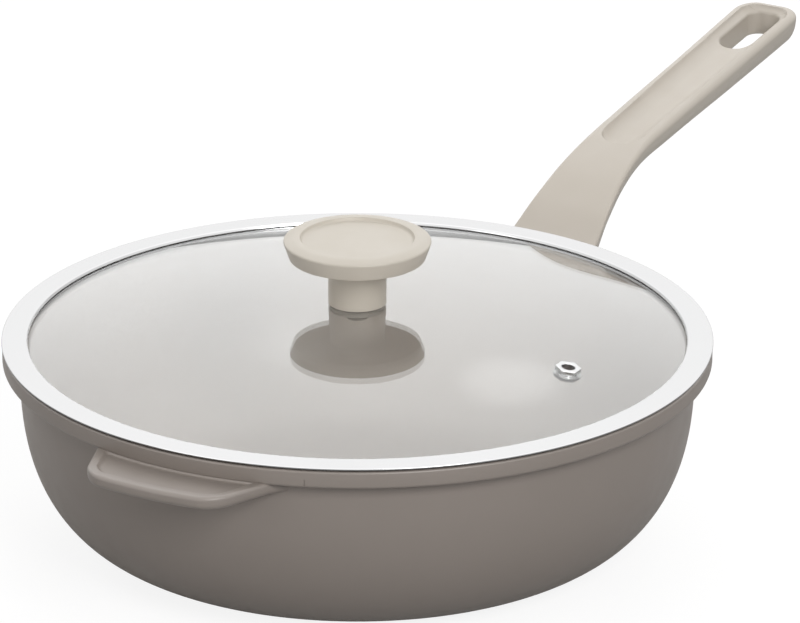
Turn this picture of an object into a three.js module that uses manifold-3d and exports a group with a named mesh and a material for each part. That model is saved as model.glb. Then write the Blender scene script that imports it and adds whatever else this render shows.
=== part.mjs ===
// Wok with lid, in millimetres, +Z up.
// The origin is the centre of the base, the long handle points along +X
// and the helper handle along -X.
import * as THREE from 'three';
import { mergeVertices } from 'three/addons/utils/BufferGeometryUtils.js';
import Module from 'manifold-3d';

const wasm = await Module();
wasm.setup();

// Driving dimensions: pan casting
const WALL_RADIUS = 137.7;        // outside of the wall, just under the rim band
const BASE_FLAT_RADIUS = 80;      // outside, where the curved wall reaches the flat base
const PAN_HEIGHT = 84.9;          // table to the top of the rim
const WALL_THICKNESS = 3.2;
const FLOOR_THICKNESS = 4.5;
const BAND_STEP = 7;              // how far the rim band stands out of the wall
const BAND_HEIGHT = 7.3;
const BAND_FILLET = 1.5;          // under the band
const RIM_ROUND = 0.5;            // on the band's edges and the rim's
const SEAT_FLARE = 2.4;           // how much the lid's seat widens towards the rim's top

// Driving dimensions: base disc
const DISC_RADIUS = 72;
const DISC_THICKNESS = 2;
const DISC_PROUD = 0.5;           // the disc stands below the casting by this much
const DISC_HOLE_RADIUS = 1.6;
const DISC_HOLE_DEPTH = 0.7;
const DISC_ROW_RADII = [26, 42, 58];
const DISC_ROW_COUNTS = [8, 12, 16];

// Driving dimensions: lid
const RING_OVERHANG = 0.3;        // the lid's ring outside the rim band
const RING_WIDTH = 10.8;          // flat top of the ring, edge to glass
const SHEET = 0.8;                // the ring's sheet steel
const HEM_WIDTH = 1.2;            // flat underside of the folded outer edge
const DOME_RISE = 14.9;           // top of the glass above the ring's top
const GLASS_THICKNESS = 4;
const GLASS_TUCK = 1.8;           // how far the glass runs in under the ring
const GLASS_HOLE_RADIUS = 4;
const LID_CLEARANCE = 0.8;        // lid's collar to the pan's seat

// Driving dimensions: knob
const KNOB_RADIUS = 30.1;
const KNOB_TAPER = 2.3;           // the disc is smaller below by this much
const KNOB_DISC_THICKNESS = 8.4;
const KNOB_STEM_RADIUS = 11.8;
const KNOB_STEM_LENGTH = 19.2;
const KNOB_RECESS_RADIUS = 23.3;
const KNOB_RECESS_DEPTH = 1.5;
const KNOB_ROUND = 0.9;
const KNOB_SCREW_RADIUS = 2.4;
const KNOB_SCREW_REACH = 12;      // thread inside the knob
const KNOB_HEAD_RADIUS = 4.6;
const KNOB_HEAD_HEIGHT = 2.8;
const KNOB_INSERT_WALL = 1.6;
const KNOB_INSERT_LENGTH = 14;
const KNOB_GASKET_THICKNESS = 0.5;
const KNOB_GASKET_INSET = 0.6;    // gasket edge inside the stem's edge
const KNOB_LOWER_GASKET_THICKNESS = 1.2;
const KNOB_WASHER_THICKNESS = 1;
const KNOB_WASHER_RADIUS = 8.5;

// Driving dimensions: steam vent
const VENT_INSET = 34.6;          // its axis inside the steel ring's inner edge
const VENT_DEGREES = -91.8;       // round the lid from the long handle
const VENT_BORE_RADIUS = 2.75;
const VENT_TUBE_WALL = 0.7;
const VENT_HEX_RADIUS = 5.5;      // to the hexagon's corners
const VENT_HEX_HEIGHT = 1.5;
const VENT_WASHER_RADIUS = 5.8;
const VENT_WASHER_THICKNESS = 0.8;
const VENT_LIP_HEIGHT = 0.7;
const VENT_LIP_WIDTH = 1.1;

// Driving dimensions: long handle and its lug
const LUG_LENGTH = 12.3;          // wall to the handle's root face
const LUG_DROP = 7.3;             // the root's top below the rim band
const LUG_FLARE = 5;              // the lug is wider at the wall, each side
const LUG_DEGREES = 20;           // slope of the lug and its tongue
const HANDLE_LENGTH = 216;
const HANDLE_RISE = 50.7;         // root's top to tip's top
const HANDLE_THICKNESS = 11;
const ROOT_WIDTH = 40.4;
const GRIP_WIDTH = 29;            // near the tip
const GRIP_TOP_ROUND = 2.2;
const GRIP_BOTTOM_ROUND = 5;
const TIP_ROUND = 10;             // plan corners of the tip
const SCOOP_START = 68;           // from the root face
const SCOOP_END = 203;
const SCOOP_WIDTH = 21.6;
const SCOOP_DEPTH = 2.6;
const SLOT_END = 210;             // hanging slot's far end, from the root face
const SLOT_LENGTH = 38.5;
const SLOT_WIDTH = 15.2;
const TONGUE_LENGTH = 21;
const TONGUE_WIDTH = 24;
const TONGUE_THICKNESS = 4.6;
const TONGUE_SCREW_PLACE = 11;    // from the lug's end face
const HANDLE_SCREW_RADIUS = 2;
const HANDLE_HEAD_RADIUS = 4;
const HANDLE_HEAD_HEIGHT = 2.2;
const HANDLE_INSERT_WALL = 0.9;
const HANDLE_WASHER_THICKNESS = 0.6;
const HANDLE_COUNTERBORE = 1.2;

// Driving dimensions: helper handle, cast in one with the pan
const HELPER_REACH = 29.5;        // outside the wall under the band
const HELPER_ROOT_WIDTH = 83;
const HELPER_TIP_WIDTH = 63;
const HELPER_THICKNESS = 5;
const HELPER_CORNER = 8;
const HELPER_EDGE = 6;            // width of its raised edge
const HELPER_RECESS_DEPTH = 2.2;
const HELPER_RECESS_START = 2.6;  // the recess begins this far outside the wall

// Running fits, cuts and facets
const GAP = 0.3;                  // between a piece and the one it was cut by
const FIT = 0.1;                  // between round pieces on one axis
const OUTLINE_MARGIN = 0.1;       // an outline's cutter stands this far outside flush faces
const OVERRUN = 4;                // cutters run past what they cut
const CROSS_SLOT = 1.1;           // screw recess width
const CROSS_DEPTH = 1.2;
const ROUND_STEPS = 64;
const SMALL_STEPS = 32;
const TINY_STEPS = 16;
const HOLE_STEPS = 8;
const CORNER_STEPS = 6;
const BOWL_STEPS = 10;
const GRIP_STATIONS = 26;
const SCOOP_STATIONS = 20;
const SCOOP_SWEEP = 8;
const DOME_STEPS = 6;

// The wall is an arc with fuller shoulders than an ellipse's
const WALL_FULLNESS_SHARE = 2.42;
const BASE_FULLNESS_SHARE = 2.5;

// Height and width of the long handle, as shares along its length
const TOP_HEIGHT_SHARES = [
  [0, 0], [0.07, 0.118], [0.148, 0.308], [0.232, 0.493], [0.333, 0.641],
  [0.463, 0.728], [0.648, 0.824], [0.833, 0.919], [1, 1],
];
const ROOT_WIDENING_SHARES = [
  [0, 1], [0.07, 0.965], [0.148, 0.49], [0.232, 0.105], [0.333, -0.158],
  [0.463, -0.14], [0.694, -0.07], [0.903, 0], [1, 0],
];

// Levels and radii that follow
const BAND_RADIUS = WALL_RADIUS + BAND_STEP;
const BAND_BOTTOM = PAN_HEIGHT - BAND_HEIGHT;
const HEM_THICKNESS = 2 * SHEET;
const RING_TOP = PAN_HEIGHT + HEM_THICKNESS;
const RING_RADIUS = BAND_RADIUS + RING_OVERHANG;
const RING_INNER = RING_RADIUS - RING_WIDTH;
const GLASS_RADIUS = RING_INNER + GLASS_TUCK;
const VENT_RADIUS = RING_INNER - VENT_INSET;
const COLLAR_RADIUS = GLASS_RADIUS + GAP + SHEET;
const SEAT_RADIUS = COLLAR_RADIUS + LID_CLEARANCE;
const DOME_SAG = DOME_RISE + SHEET + GAP;
const DOME_RADIUS = (RING_INNER ** 2 + DOME_SAG ** 2) / (2 * DOME_SAG);
const DOME_CENTRE = RING_TOP + DOME_RISE - DOME_RADIUS;
const HANDLE_ROOT = WALL_RADIUS + LUG_LENGTH;
const HANDLE_ROOT_TOP = BAND_BOTTOM - LUG_DROP;

const glassTop = (r) => DOME_CENTRE + Math.sqrt(DOME_RADIUS ** 2 - r ** 2);
const glassBottom = (r) => DOME_CENTRE + Math.sqrt((DOME_RADIUS - GLASS_THICKNESS) ** 2 - r ** 2);

const finishes = {
  coated_cast: { color: 0x857c75, roughness: 0.5, metalness: 0.15 },
  base_steel: { color: 0xb4b2ae, roughness: 0.4, metalness: 1 },
  soft_grip: { color: 0xd0cac0, roughness: 0.6, metalness: 0 },
  polished_steel: { color: 0xeeeeee, roughness: 0.18, metalness: 1 },
  bright_steel: { color: 0xd8d8d8, roughness: 0.25, metalness: 1 },
  brass: { color: 0xc9a75a, roughness: 0.35, metalness: 1 },
  dark_silicone: { color: 0x3c3a38, roughness: 0.8, metalness: 0 },
  smoked_glass: { color: 0xc9c8c4, roughness: 0.05, metalness: 0, transparent: true, opacity: 0.5 },
};

const wok = new THREE.Group();

function add(name, geometry, finish, parent = wok) {
  const mesh = new THREE.Mesh(geometry, new THREE.MeshStandardMaterial(finishes[finish]));
  mesh.name = name;
  parent.add(mesh);
  return mesh;
}

// Closed geometry with shared vertices and its faces pointing out
function tidy(geometry) {
  geometry.deleteAttribute('normal');
  geometry.deleteAttribute('uv');
  const merged = mergeVertices(geometry);
  const p = merged.attributes.position;
  const index = merged.index.array;
  const a = new THREE.Vector3();
  const b = new THREE.Vector3();
  const c = new THREE.Vector3();
  const kept = [];
  let volume = 0;
  for (let i = 0; i < index.length; i += 3) {
    const [u, v, w] = [index[i], index[i + 1], index[i + 2]];
    if (u === v || v === w || w === u) continue;
    kept.push(u, v, w);
    a.fromBufferAttribute(p, u);
    b.fromBufferAttribute(p, v);
    c.fromBufferAttribute(p, w);
    volume += a.dot(b.cross(c));
  }
  if (volume < 0) {
    for (let i = 0; i < kept.length; i += 3) {
      [kept[i], kept[i + 1]] = [kept[i + 1], kept[i]];
    }
  }
  merged.setIndex(kept);
  return merged;
}

function toSolid(geometry) {
  const tidied = tidy(geometry);
  return new wasm.Manifold(new wasm.Mesh({
    numProp: 3,
    vertProperties: new Float32Array(tidied.attributes.position.array),
    triVerts: new Uint32Array(tidied.index.array),
  }));
}

function toGeometry(solid) {
  const mesh = solid.getMesh();
  const points = new Float32Array(mesh.numVert * 3);
  for (let i = 0; i < mesh.numVert; i++) {
    for (let k = 0; k < 3; k++) points[3 * i + k] = mesh.vertProperties[mesh.numProp * i + k];
  }
  const geometry = new THREE.BufferGeometry();
  geometry.setAttribute('position', new THREE.BufferAttribute(points, 3));
  geometry.setIndex(Array.from(mesh.triVerts));
  return geometry;
}

// A profile of [radius, height] pairs turned about Z
function turned(profile, steps) {
  const points = profile.map(([r, z]) => new THREE.Vector2(r, z));
  const geometry = new THREE.LatheGeometry(points, steps);
  geometry.rotateX(Math.PI / 2);
  return tidy(geometry);
}

// A ring of rectangular section
function washer(inner, outer, bottom, top, steps) {
  return turned([[inner, bottom], [outer, bottom], [outer, top], [inner, top], [inner, bottom]], steps);
}

// A round bar
function bar(radius, bottom, top, steps) {
  return turned([[0, bottom], [radius, bottom], [radius, top], [0, top]], steps);
}

// Points of an arc, angles in degrees
function arc(centreR, centreZ, radius, from, to, steps) {
  const points = [];
  for (let i = 0; i <= steps; i++) {
    const angle = THREE.MathUtils.degToRad(from + (to - from) * i / steps);
    points.push([centreR + radius * Math.cos(angle), centreZ + radius * Math.sin(angle)]);
  }
  return points;
}

// The bowl's curve from the flat base up to the top of the wall
function bowlCurve(topRadius, topZ, flatRadius, flatZ, steps) {
  const points = [];
  for (let i = 0; i <= steps; i++) {
    const angle = Math.PI / 2 * (1 - i / steps);
    const outShare = Math.abs(Math.cos(angle)) ** (2 / WALL_FULLNESS_SHARE);
    const downShare = Math.abs(Math.sin(angle)) ** (2 / BASE_FULLNESS_SHARE);
    points.push([
      flatRadius + (topRadius - flatRadius) * (i === 0 ? 0 : outShare),
      topZ - (topZ - flatZ) * downShare,
    ]);
  }
  return points;
}

// A smooth height over distance through a few share points
function smoothThrough(shares) {
  const slopes = shares.map((_, i) => {
    const before = shares[Math.max(i - 1, 0)];
    const after = shares[Math.min(i + 1, shares.length - 1)];
    return (after[1] - before[1]) / (after[0] - before[0]);
  });
  return (s) => {
    let i = 0;
    while (i < shares.length - 2 && s > shares[i + 1][0]) i++;
    const span = shares[i + 1][0] - shares[i][0];
    const t = (s - shares[i][0]) / span;
    const rise = shares[i + 1][1] - shares[i][1];
    const bend = t * (1 - t) * ((1 - t) * (slopes[i] * span - rise) - t * (slopes[i + 1] * span - rise));
    return shares[i][1] + t * rise + bend;
  };
}

function panBody() {
  const outer = bowlCurve(WALL_RADIUS, BAND_BOTTOM - BAND_FILLET, BASE_FLAT_RADIUS, DISC_PROUD, BOWL_STEPS);
  const inner = bowlCurve(
    WALL_RADIUS - WALL_THICKNESS, BAND_BOTTOM - BAND_FILLET,
    BASE_FLAT_RADIUS - WALL_THICKNESS, DISC_PROUD + FLOOR_THICKNESS, BOWL_STEPS - 2,
  ).reverse();
  const casting = toSolid(turned([
    [0, DISC_PROUD], ...outer,
    ...arc(WALL_RADIUS + BAND_FILLET, BAND_BOTTOM - BAND_FILLET, BAND_FILLET, 180, 90, 2).slice(1),
    ...arc(BAND_RADIUS - RIM_ROUND, BAND_BOTTOM + RIM_ROUND, RIM_ROUND, -90, 0, 2),
    ...arc(BAND_RADIUS - RIM_ROUND, PAN_HEIGHT - RIM_ROUND, RIM_ROUND, 0, 90, 2),
    [0, PAN_HEIGHT],
  ], ROUND_STEPS));
  const seatBottom = glassBottom(GLASS_RADIUS) - GAP - SHEET - LID_CLEARANCE;
  const hollow = toSolid(turned([
    [0, PAN_HEIGHT + OVERRUN], [SEAT_RADIUS + SEAT_FLARE, PAN_HEIGHT + OVERRUN],
    ...arc(SEAT_RADIUS + SEAT_FLARE + RIM_ROUND, PAN_HEIGHT - RIM_ROUND, RIM_ROUND, 90, 180, 2),
    [SEAT_RADIUS, seatBottom], ...inner, [0, DISC_PROUD + FLOOR_THICKNESS],
  ], ROUND_STEPS));
  const discSeat = toSolid(bar(DISC_RADIUS + GAP, -OVERRUN, DISC_THICKNESS, ROUND_STEPS));
  return toGeometry(
    casting.add(toSolid(helperHandle())).add(toSolid(handleLug()))
      .subtract(hollow).subtract(discSeat)
      .subtract(toSolid(helperRecess())).subtract(toSolid(insertHole())),
  );
}

// Plan outline of the helper handle; inset draws the outline in for its recess
function helperOutline(inset, innerRadius) {
  const reach = WALL_RADIUS + HELPER_REACH - inset;
  const root = HELPER_ROOT_WIDTH / 2 - inset;
  const tip = HELPER_TIP_WIDTH / 2 - inset;
  const corner = Math.max(HELPER_CORNER - inset, RIM_ROUND);
  const tipX = Math.sqrt(reach ** 2 - tip ** 2) - corner;
  const shape = new THREE.Shape();
  shape.moveTo(-innerRadius, -root);
  shape.lineTo(-tipX, -tip);
  shape.quadraticCurveTo(-Math.sqrt(reach ** 2 - tip ** 2), -tip,
    -Math.sqrt(reach ** 2 - (tip - corner) ** 2), -(tip - corner));
  const swing = Math.asin((tip - corner) / reach);
  shape.absarc(0, 0, reach, Math.PI + swing, Math.PI - swing, true);
  shape.quadraticCurveTo(-Math.sqrt(reach ** 2 - tip ** 2), tip, -tipX, tip);
  shape.lineTo(-innerRadius, root);
  shape.closePath();
  return shape;
}

function helperHandle() {
  const shape = helperOutline(0, WALL_RADIUS - WALL_THICKNESS - OVERRUN);
  const geometry = new THREE.ExtrudeGeometry(shape, {
    depth: HELPER_THICKNESS - 2 * RIM_ROUND, steps: 1, curveSegments: CORNER_STEPS,
    bevelEnabled: true, bevelThickness: RIM_ROUND, bevelSize: RIM_ROUND, bevelOffset: -RIM_ROUND,
    bevelSegments: 2,
  });
  geometry.translate(0, 0, BAND_BOTTOM - HELPER_THICKNESS + RIM_ROUND);
  return geometry;
}

function helperRecess() {
  const shape = helperOutline(HELPER_EDGE, WALL_RADIUS + HELPER_RECESS_START);
  const geometry = new THREE.ExtrudeGeometry(shape, {
    depth: HELPER_RECESS_DEPTH + OVERRUN, steps: 1, curveSegments: CORNER_STEPS, bevelEnabled: false,
  });
  geometry.translate(0, 0, BAND_BOTTOM - HELPER_RECESS_DEPTH);
  const band = toSolid(bar(BAND_RADIUS + OVERRUN, BAND_BOTTOM, PAN_HEIGHT + OVERRUN, ROUND_STEPS));
  return toGeometry(toSolid(geometry).subtract(band));
}

// The lug's frame: x along the tongue, from the middle of the lug's end face
const lugFrame = new THREE.Matrix4()
  .makeTranslation(HANDLE_ROOT, 0, HANDLE_ROOT_TOP - HANDLE_THICKNESS / 2)
  .multiply(new THREE.Matrix4().makeRotationY(-THREE.MathUtils.degToRad(LUG_DEGREES)));

function block(fromX, toX, width, bottom, top) {
  const geometry = new THREE.BoxGeometry(toX - fromX, width, top - bottom);
  geometry.translate((fromX + toX) / 2, 0, (bottom + top) / 2);
  return geometry;
}

function handleLug() {
  const back = LUG_LENGTH + OVERRUN;
  const end = ROOT_WIDTH / 2 - GRIP_TOP_ROUND;
  const shape = new THREE.Shape();
  shape.moveTo(0, -end);
  shape.lineTo(0, end);
  shape.lineTo(-LUG_LENGTH / 2, end + LUG_FLARE / 4);
  shape.lineTo(-back, end + LUG_FLARE);
  shape.lineTo(-back, -end - LUG_FLARE);
  shape.lineTo(-LUG_LENGTH / 2, -end - LUG_FLARE / 4);
  shape.closePath();
  const height = HANDLE_THICKNESS - GRIP_TOP_ROUND;
  const lug = new THREE.ExtrudeGeometry(shape, {
    depth: height - 2 * RIM_ROUND, steps: 1,
    bevelEnabled: true, bevelThickness: RIM_ROUND, bevelSize: RIM_ROUND, bevelOffset: -RIM_ROUND,
    bevelSegments: 2,
  });
  lug.translate(0, 0, RIM_ROUND - height / 2);
  const tongue = block(-OVERRUN, TONGUE_LENGTH, TONGUE_WIDTH, -TONGUE_THICKNESS / 2, TONGUE_THICKNESS / 2);
  return toGeometry(toSolid(lug).add(toSolid(tongue))).applyMatrix4(lugFrame);
}

const HANDLE_INSERT_RADIUS = HANDLE_SCREW_RADIUS + FIT + HANDLE_INSERT_WALL;

function insertHole() {
  const hole = bar(HANDLE_INSERT_RADIUS + GAP, -HANDLE_THICKNESS / 2, HANDLE_THICKNESS / 2, TINY_STEPS);
  hole.translate(TONGUE_SCREW_PLACE, 0, 0);
  return hole.applyMatrix4(lugFrame);
}

function baseDisc() {
  let disc = toSolid(turned([
    [0, 0], [DISC_RADIUS - RIM_ROUND, 0], [DISC_RADIUS, RIM_ROUND],
    [DISC_RADIUS, DISC_THICKNESS], [0, DISC_THICKNESS],
  ], ROUND_STEPS));
  DISC_ROW_RADII.forEach((row, i) => {
    for (let k = 0; k < DISC_ROW_COUNTS[i]; k++) {
      const angle = 2 * Math.PI * k / DISC_ROW_COUNTS[i];
      const deep = DISC_HOLE_DEPTH + OVERRUN;
      const hole = new THREE.CylinderGeometry(DISC_HOLE_RADIUS, DISC_HOLE_RADIUS, deep, HOLE_STEPS);
      hole.rotateX(Math.PI / 2);
      hole.translate(row * Math.cos(angle), row * Math.sin(angle), (DISC_HOLE_DEPTH - OVERRUN) / 2);
      disc = disc.subtract(toSolid(hole));
    }
  });
  return toGeometry(disc);
}

// Long handle
const topShare = smoothThrough(TOP_HEIGHT_SHARES);
const wideShare = smoothThrough(ROOT_WIDENING_SHARES);
const handleTop = (along) => HANDLE_ROOT_TOP + HANDLE_RISE * topShare(along / HANDLE_LENGTH);
const handleHalf = (along) => (
  GRIP_WIDTH + (ROOT_WIDTH - GRIP_WIDTH) * wideShare(along / HANDLE_LENGTH)
) / 2;

function gripBlank() {
  const half = GRIP_WIDTH / 2;
  const low = GRIP_BOTTOM_ROUND - HANDLE_THICKNESS;
  const shape = new THREE.Shape();
  shape.moveTo(-half + GRIP_BOTTOM_ROUND, -HANDLE_THICKNESS);
  shape.lineTo(half - GRIP_BOTTOM_ROUND, -HANDLE_THICKNESS);
  shape.absarc(half - GRIP_BOTTOM_ROUND, low, GRIP_BOTTOM_ROUND, -Math.PI / 2, 0);
  shape.absarc(half - GRIP_TOP_ROUND, -GRIP_TOP_ROUND, GRIP_TOP_ROUND, 0, Math.PI / 2);
  shape.absarc(-half + GRIP_TOP_ROUND, -GRIP_TOP_ROUND, GRIP_TOP_ROUND, Math.PI / 2, Math.PI);
  shape.absarc(-half + GRIP_BOTTOM_ROUND, low, GRIP_BOTTOM_ROUND, Math.PI, 1.5 * Math.PI);
  const geometry = new THREE.ExtrudeGeometry(shape, {
    depth: HANDLE_LENGTH, steps: GRIP_STATIONS, curveSegments: CORNER_STEPS / 2, bevelEnabled: false,
  });
  // Each section is drawn wider or narrower at its place and lifted to the top curve
  const p = geometry.attributes.position;
  for (let i = 0; i < p.count; i++) {
    const along = p.getZ(i);
    const side = Math.sign(p.getX(i));
    const y = p.getX(i) + side * (handleHalf(along) - half);
    p.setXYZ(i, HANDLE_ROOT + along, y, handleTop(along) + p.getY(i));
  }
  return geometry;
}

// Everything inside the plan outline of the handle, tall enough to hold it
function tipOutline() {
  const end = HANDLE_ROOT + HANDLE_LENGTH;
  const wide = ROOT_WIDTH;
  const half = GRIP_WIDTH / 2;
  const shape = new THREE.Shape();
  shape.moveTo(HANDLE_ROOT - OVERRUN, -wide);
  shape.lineTo(HANDLE_ROOT + HANDLE_LENGTH / 2, -wide);
  shape.lineTo(HANDLE_ROOT + HANDLE_LENGTH / 2, -half - OUTLINE_MARGIN);
  shape.lineTo(end - TIP_ROUND, -half - OUTLINE_MARGIN);
  shape.absarc(end - TIP_ROUND, -half - OUTLINE_MARGIN + TIP_ROUND, TIP_ROUND, -Math.PI / 2, 0);
  shape.absarc(end - TIP_ROUND, half + OUTLINE_MARGIN - TIP_ROUND, TIP_ROUND, 0, Math.PI / 2);
  shape.lineTo(HANDLE_ROOT + HANDLE_LENGTH / 2, half + OUTLINE_MARGIN);
  shape.lineTo(HANDLE_ROOT + HANDLE_LENGTH / 2, wide);
  shape.lineTo(HANDLE_ROOT - OVERRUN, wide);
  shape.closePath();
  const geometry = new THREE.ExtrudeGeometry(shape, {
    depth: HANDLE_RISE + 4 * HANDLE_THICKNESS, steps: 1, curveSegments: CORNER_STEPS, bevelEnabled: false,
  });
  geometry.translate(0, 0, HANDLE_ROOT_TOP - 2 * HANDLE_THICKNESS);
  return geometry;
}

// Long concave scoop along the top of the grip, with round ends
function gripScoop() {
  const length = SCOOP_END - SCOOP_START;
  const shape = new THREE.Shape();
  shape.moveTo(-1, 1);
  for (let i = 0; i <= SCOOP_SWEEP; i++) {
    const across = -1 + 2 * i / SCOOP_SWEEP;
    shape.lineTo(across, -(1 - across ** 2));
  }
  shape.lineTo(1, 1);
  shape.closePath();
  const geometry = new THREE.ExtrudeGeometry(shape, {
    depth: SCOOP_STATIONS, steps: SCOOP_STATIONS, bevelEnabled: false,
  });
  const p = geometry.attributes.position;
  const half = SCOOP_WIDTH / 2;
  for (let i = 0; i < p.count; i++) {
    // Stations crowd towards the two round ends
    const station = Math.round(p.getZ(i)) / SCOOP_STATIONS;
    const along = SCOOP_START + length * (1 - Math.cos(Math.PI * station)) / 2;
    const fromEnd = Math.min(along - SCOOP_START, SCOOP_END - along, half) / half;
    const open = Math.max(Math.sqrt(1 - (1 - fromEnd) ** 2), FIT / half);
    const lift = p.getY(i) > 0 ? OVERRUN : SCOOP_DEPTH * open * p.getY(i);
    p.setXYZ(i, HANDLE_ROOT + along, p.getX(i) * half * open, handleTop(along) + lift);
  }
  return geometry;
}

function hangingSlot() {
  const r = SLOT_WIDTH / 2;
  const near = HANDLE_ROOT + SLOT_END - SLOT_LENGTH + r;
  const far = HANDLE_ROOT + SLOT_END - r;
  const shape = new THREE.Shape();
  shape.moveTo(near, -r);
  shape.lineTo(far, -r);
  shape.absarc(far, 0, r, -Math.PI / 2, Math.PI / 2);
  shape.lineTo(near, r);
  shape.absarc(near, 0, r, Math.PI / 2, 1.5 * Math.PI);
  const geometry = new THREE.ExtrudeGeometry(shape, {
    depth: 3 * HANDLE_THICKNESS, steps: 1, curveSegments: HOLE_STEPS, bevelEnabled: false,
  });
  geometry.translate(0, 0, handleTop(SLOT_END - SLOT_LENGTH / 2) - 2 * HANDLE_THICKNESS);
  return geometry;
}

// Level of the handle's outer underside, below the tongue's middle
const UNDERSIDE = -HANDLE_THICKNESS / 2;

function handleGrip() {
  const socket = block(-OVERRUN, TONGUE_LENGTH + GAP, TONGUE_WIDTH + 2 * GAP,
    -TONGUE_THICKNESS / 2 - GAP, TONGUE_THICKNESS / 2 + GAP).applyMatrix4(lugFrame);
  const rootFace = block(-HANDLE_THICKNESS, GAP, 2 * ROOT_WIDTH,
    -2 * HANDLE_THICKNESS, 2 * HANDLE_THICKNESS).applyMatrix4(lugFrame);
  const screwHole = bar(HANDLE_SCREW_RADIUS + GAP, 2 * UNDERSIDE, 0, TINY_STEPS)
    .translate(TONGUE_SCREW_PLACE, 0, 0).applyMatrix4(lugFrame);
  const counterbore = bar(HANDLE_HEAD_RADIUS + 2 * GAP, 2 * UNDERSIDE,
    UNDERSIDE + HANDLE_COUNTERBORE, TINY_STEPS)
    .translate(TONGUE_SCREW_PLACE, 0, 0).applyMatrix4(lugFrame);
  return toGeometry(
    toSolid(gripBlank()).intersect(toSolid(tipOutline()))
      .subtract(toSolid(rootFace)).subtract(toSolid(socket))
      .subtract(toSolid(screwHole)).subtract(toSolid(counterbore))
      .subtract(toSolid(gripScoop())).subtract(toSolid(hangingSlot())),
  );
}

// A screw along Z, head down, with a cross recess in its head
function screw(radius, headRadius, headHeight, headTop, tip, steps) {
  const headBottom = headTop - headHeight;
  const body = toSolid(turned([
    [0, headBottom], [headRadius - RIM_ROUND, headBottom], [headRadius, headBottom + RIM_ROUND],
    [headRadius, headTop], [radius, headTop],
    [radius, tip - RIM_ROUND], [radius - RIM_ROUND, tip], [0, tip],
  ], steps));
  const long = 1.2 * headRadius;
  const cross = [[long, CROSS_SLOT], [CROSS_SLOT, long]].map(([x, y]) => {
    const cut = new THREE.BoxGeometry(x, y, 2 * CROSS_DEPTH);
    return toSolid(cut.translate(0, 0, headBottom));
  });
  return toGeometry(body.subtract(cross[0]).subtract(cross[1]));
}

// Lid
function lidGlass() {
  const top = [];
  const bottom = [];
  for (let i = 0; i <= DOME_STEPS; i++) {
    const r = GLASS_HOLE_RADIUS + (GLASS_RADIUS - GLASS_HOLE_RADIUS) * i / DOME_STEPS;
    top.push([r, glassTop(r)]);
    bottom.push([r, glassBottom(r)]);
  }
  const dome = toSolid(turned([...top, ...bottom.reverse(), top[0]], ROUND_STEPS));
  const hole = bar(VENT_BORE_RADIUS + VENT_TUBE_WALL + GAP, -2 * GLASS_THICKNESS, OVERRUN, TINY_STEPS);
  return toGeometry(dome.subtract(toSolid(hole.applyMatrix4(ventFrame()))));
}

// Sheet steel ring, folded at its edge, that clasps the edge of the glass
function lidRim() {
  const hemOut = RING_RADIUS - SHEET;
  const webIn = GLASS_RADIUS + GAP;
  const lipIn = RING_INNER + SHEET / 2;
  return turned([
    [RING_INNER, RING_TOP],
    ...arc(hemOut, RING_TOP - SHEET, SHEET, 90, -90, 4),
    [hemOut - HEM_WIDTH, PAN_HEIGHT], [hemOut - HEM_WIDTH, RING_TOP - SHEET],
    [COLLAR_RADIUS, RING_TOP - SHEET], [COLLAR_RADIUS, glassBottom(GLASS_RADIUS) - GAP - SHEET],
    [lipIn, glassBottom(lipIn) - GAP - SHEET], [lipIn, glassBottom(lipIn) - GAP],
    [webIn, glassBottom(webIn) - GAP], [webIn, glassTop(webIn) + GAP],
    [RING_INNER, glassTop(RING_INNER) + GAP], [RING_INNER, RING_TOP],
  ], ROUND_STEPS);
}

// The vent's frame stands square on the glass
function ventFrame() {
  const tilt = Math.asin(VENT_RADIUS / DOME_RADIUS);
  return new THREE.Matrix4().makeRotationZ(THREE.MathUtils.degToRad(VENT_DEGREES))
    .multiply(new THREE.Matrix4().makeTranslation(0, 0, DOME_CENTRE))
    .multiply(new THREE.Matrix4().makeRotationY(tilt))
    .multiply(new THREE.Matrix4().makeTranslation(0, 0, DOME_RADIUS));
}

function ventEyelet() {
  const tube = VENT_BORE_RADIUS + VENT_TUBE_WALL;
  const lip = tube + VENT_LIP_WIDTH;
  const under = -GLASS_THICKNESS - VENT_WASHER_THICKNESS - 3 * GAP;
  const barrel = toSolid(turned([
    [VENT_BORE_RADIUS, under - VENT_LIP_HEIGHT], [lip, under - VENT_LIP_HEIGHT], [lip, under],
    [tube, under], [tube, GAP + VENT_HEX_HEIGHT / 2], [VENT_BORE_RADIUS, GAP + VENT_HEX_HEIGHT / 2],
    [VENT_BORE_RADIUS, under - VENT_LIP_HEIGHT],
  ], TINY_STEPS));
  const hex = new THREE.CylinderGeometry(VENT_HEX_RADIUS, VENT_HEX_RADIUS, VENT_HEX_HEIGHT, 6);
  hex.rotateX(Math.PI / 2);
  hex.translate(0, 0, GAP + VENT_HEX_HEIGHT / 2);
  const crown = turned([
    [0, 0], [VENT_HEX_RADIUS + GAP, 0], [VENT_HEX_RADIUS + GAP, GAP + VENT_HEX_HEIGHT / 2],
    [VENT_HEX_RADIUS - VENT_HEX_HEIGHT / 2, GAP + VENT_HEX_HEIGHT],
    [VENT_BORE_RADIUS + VENT_TUBE_WALL, GAP + VENT_HEX_HEIGHT],
    [VENT_BORE_RADIUS, VENT_HEX_HEIGHT], [VENT_BORE_RADIUS, GAP / 2], [0, GAP / 2],
  ], TINY_STEPS);
  const bore = toSolid(bar(VENT_BORE_RADIUS, -OVERRUN, OVERRUN, TINY_STEPS));
  return toGeometry(toSolid(hex).intersect(toSolid(crown)).add(barrel).subtract(bore));
}

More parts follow.
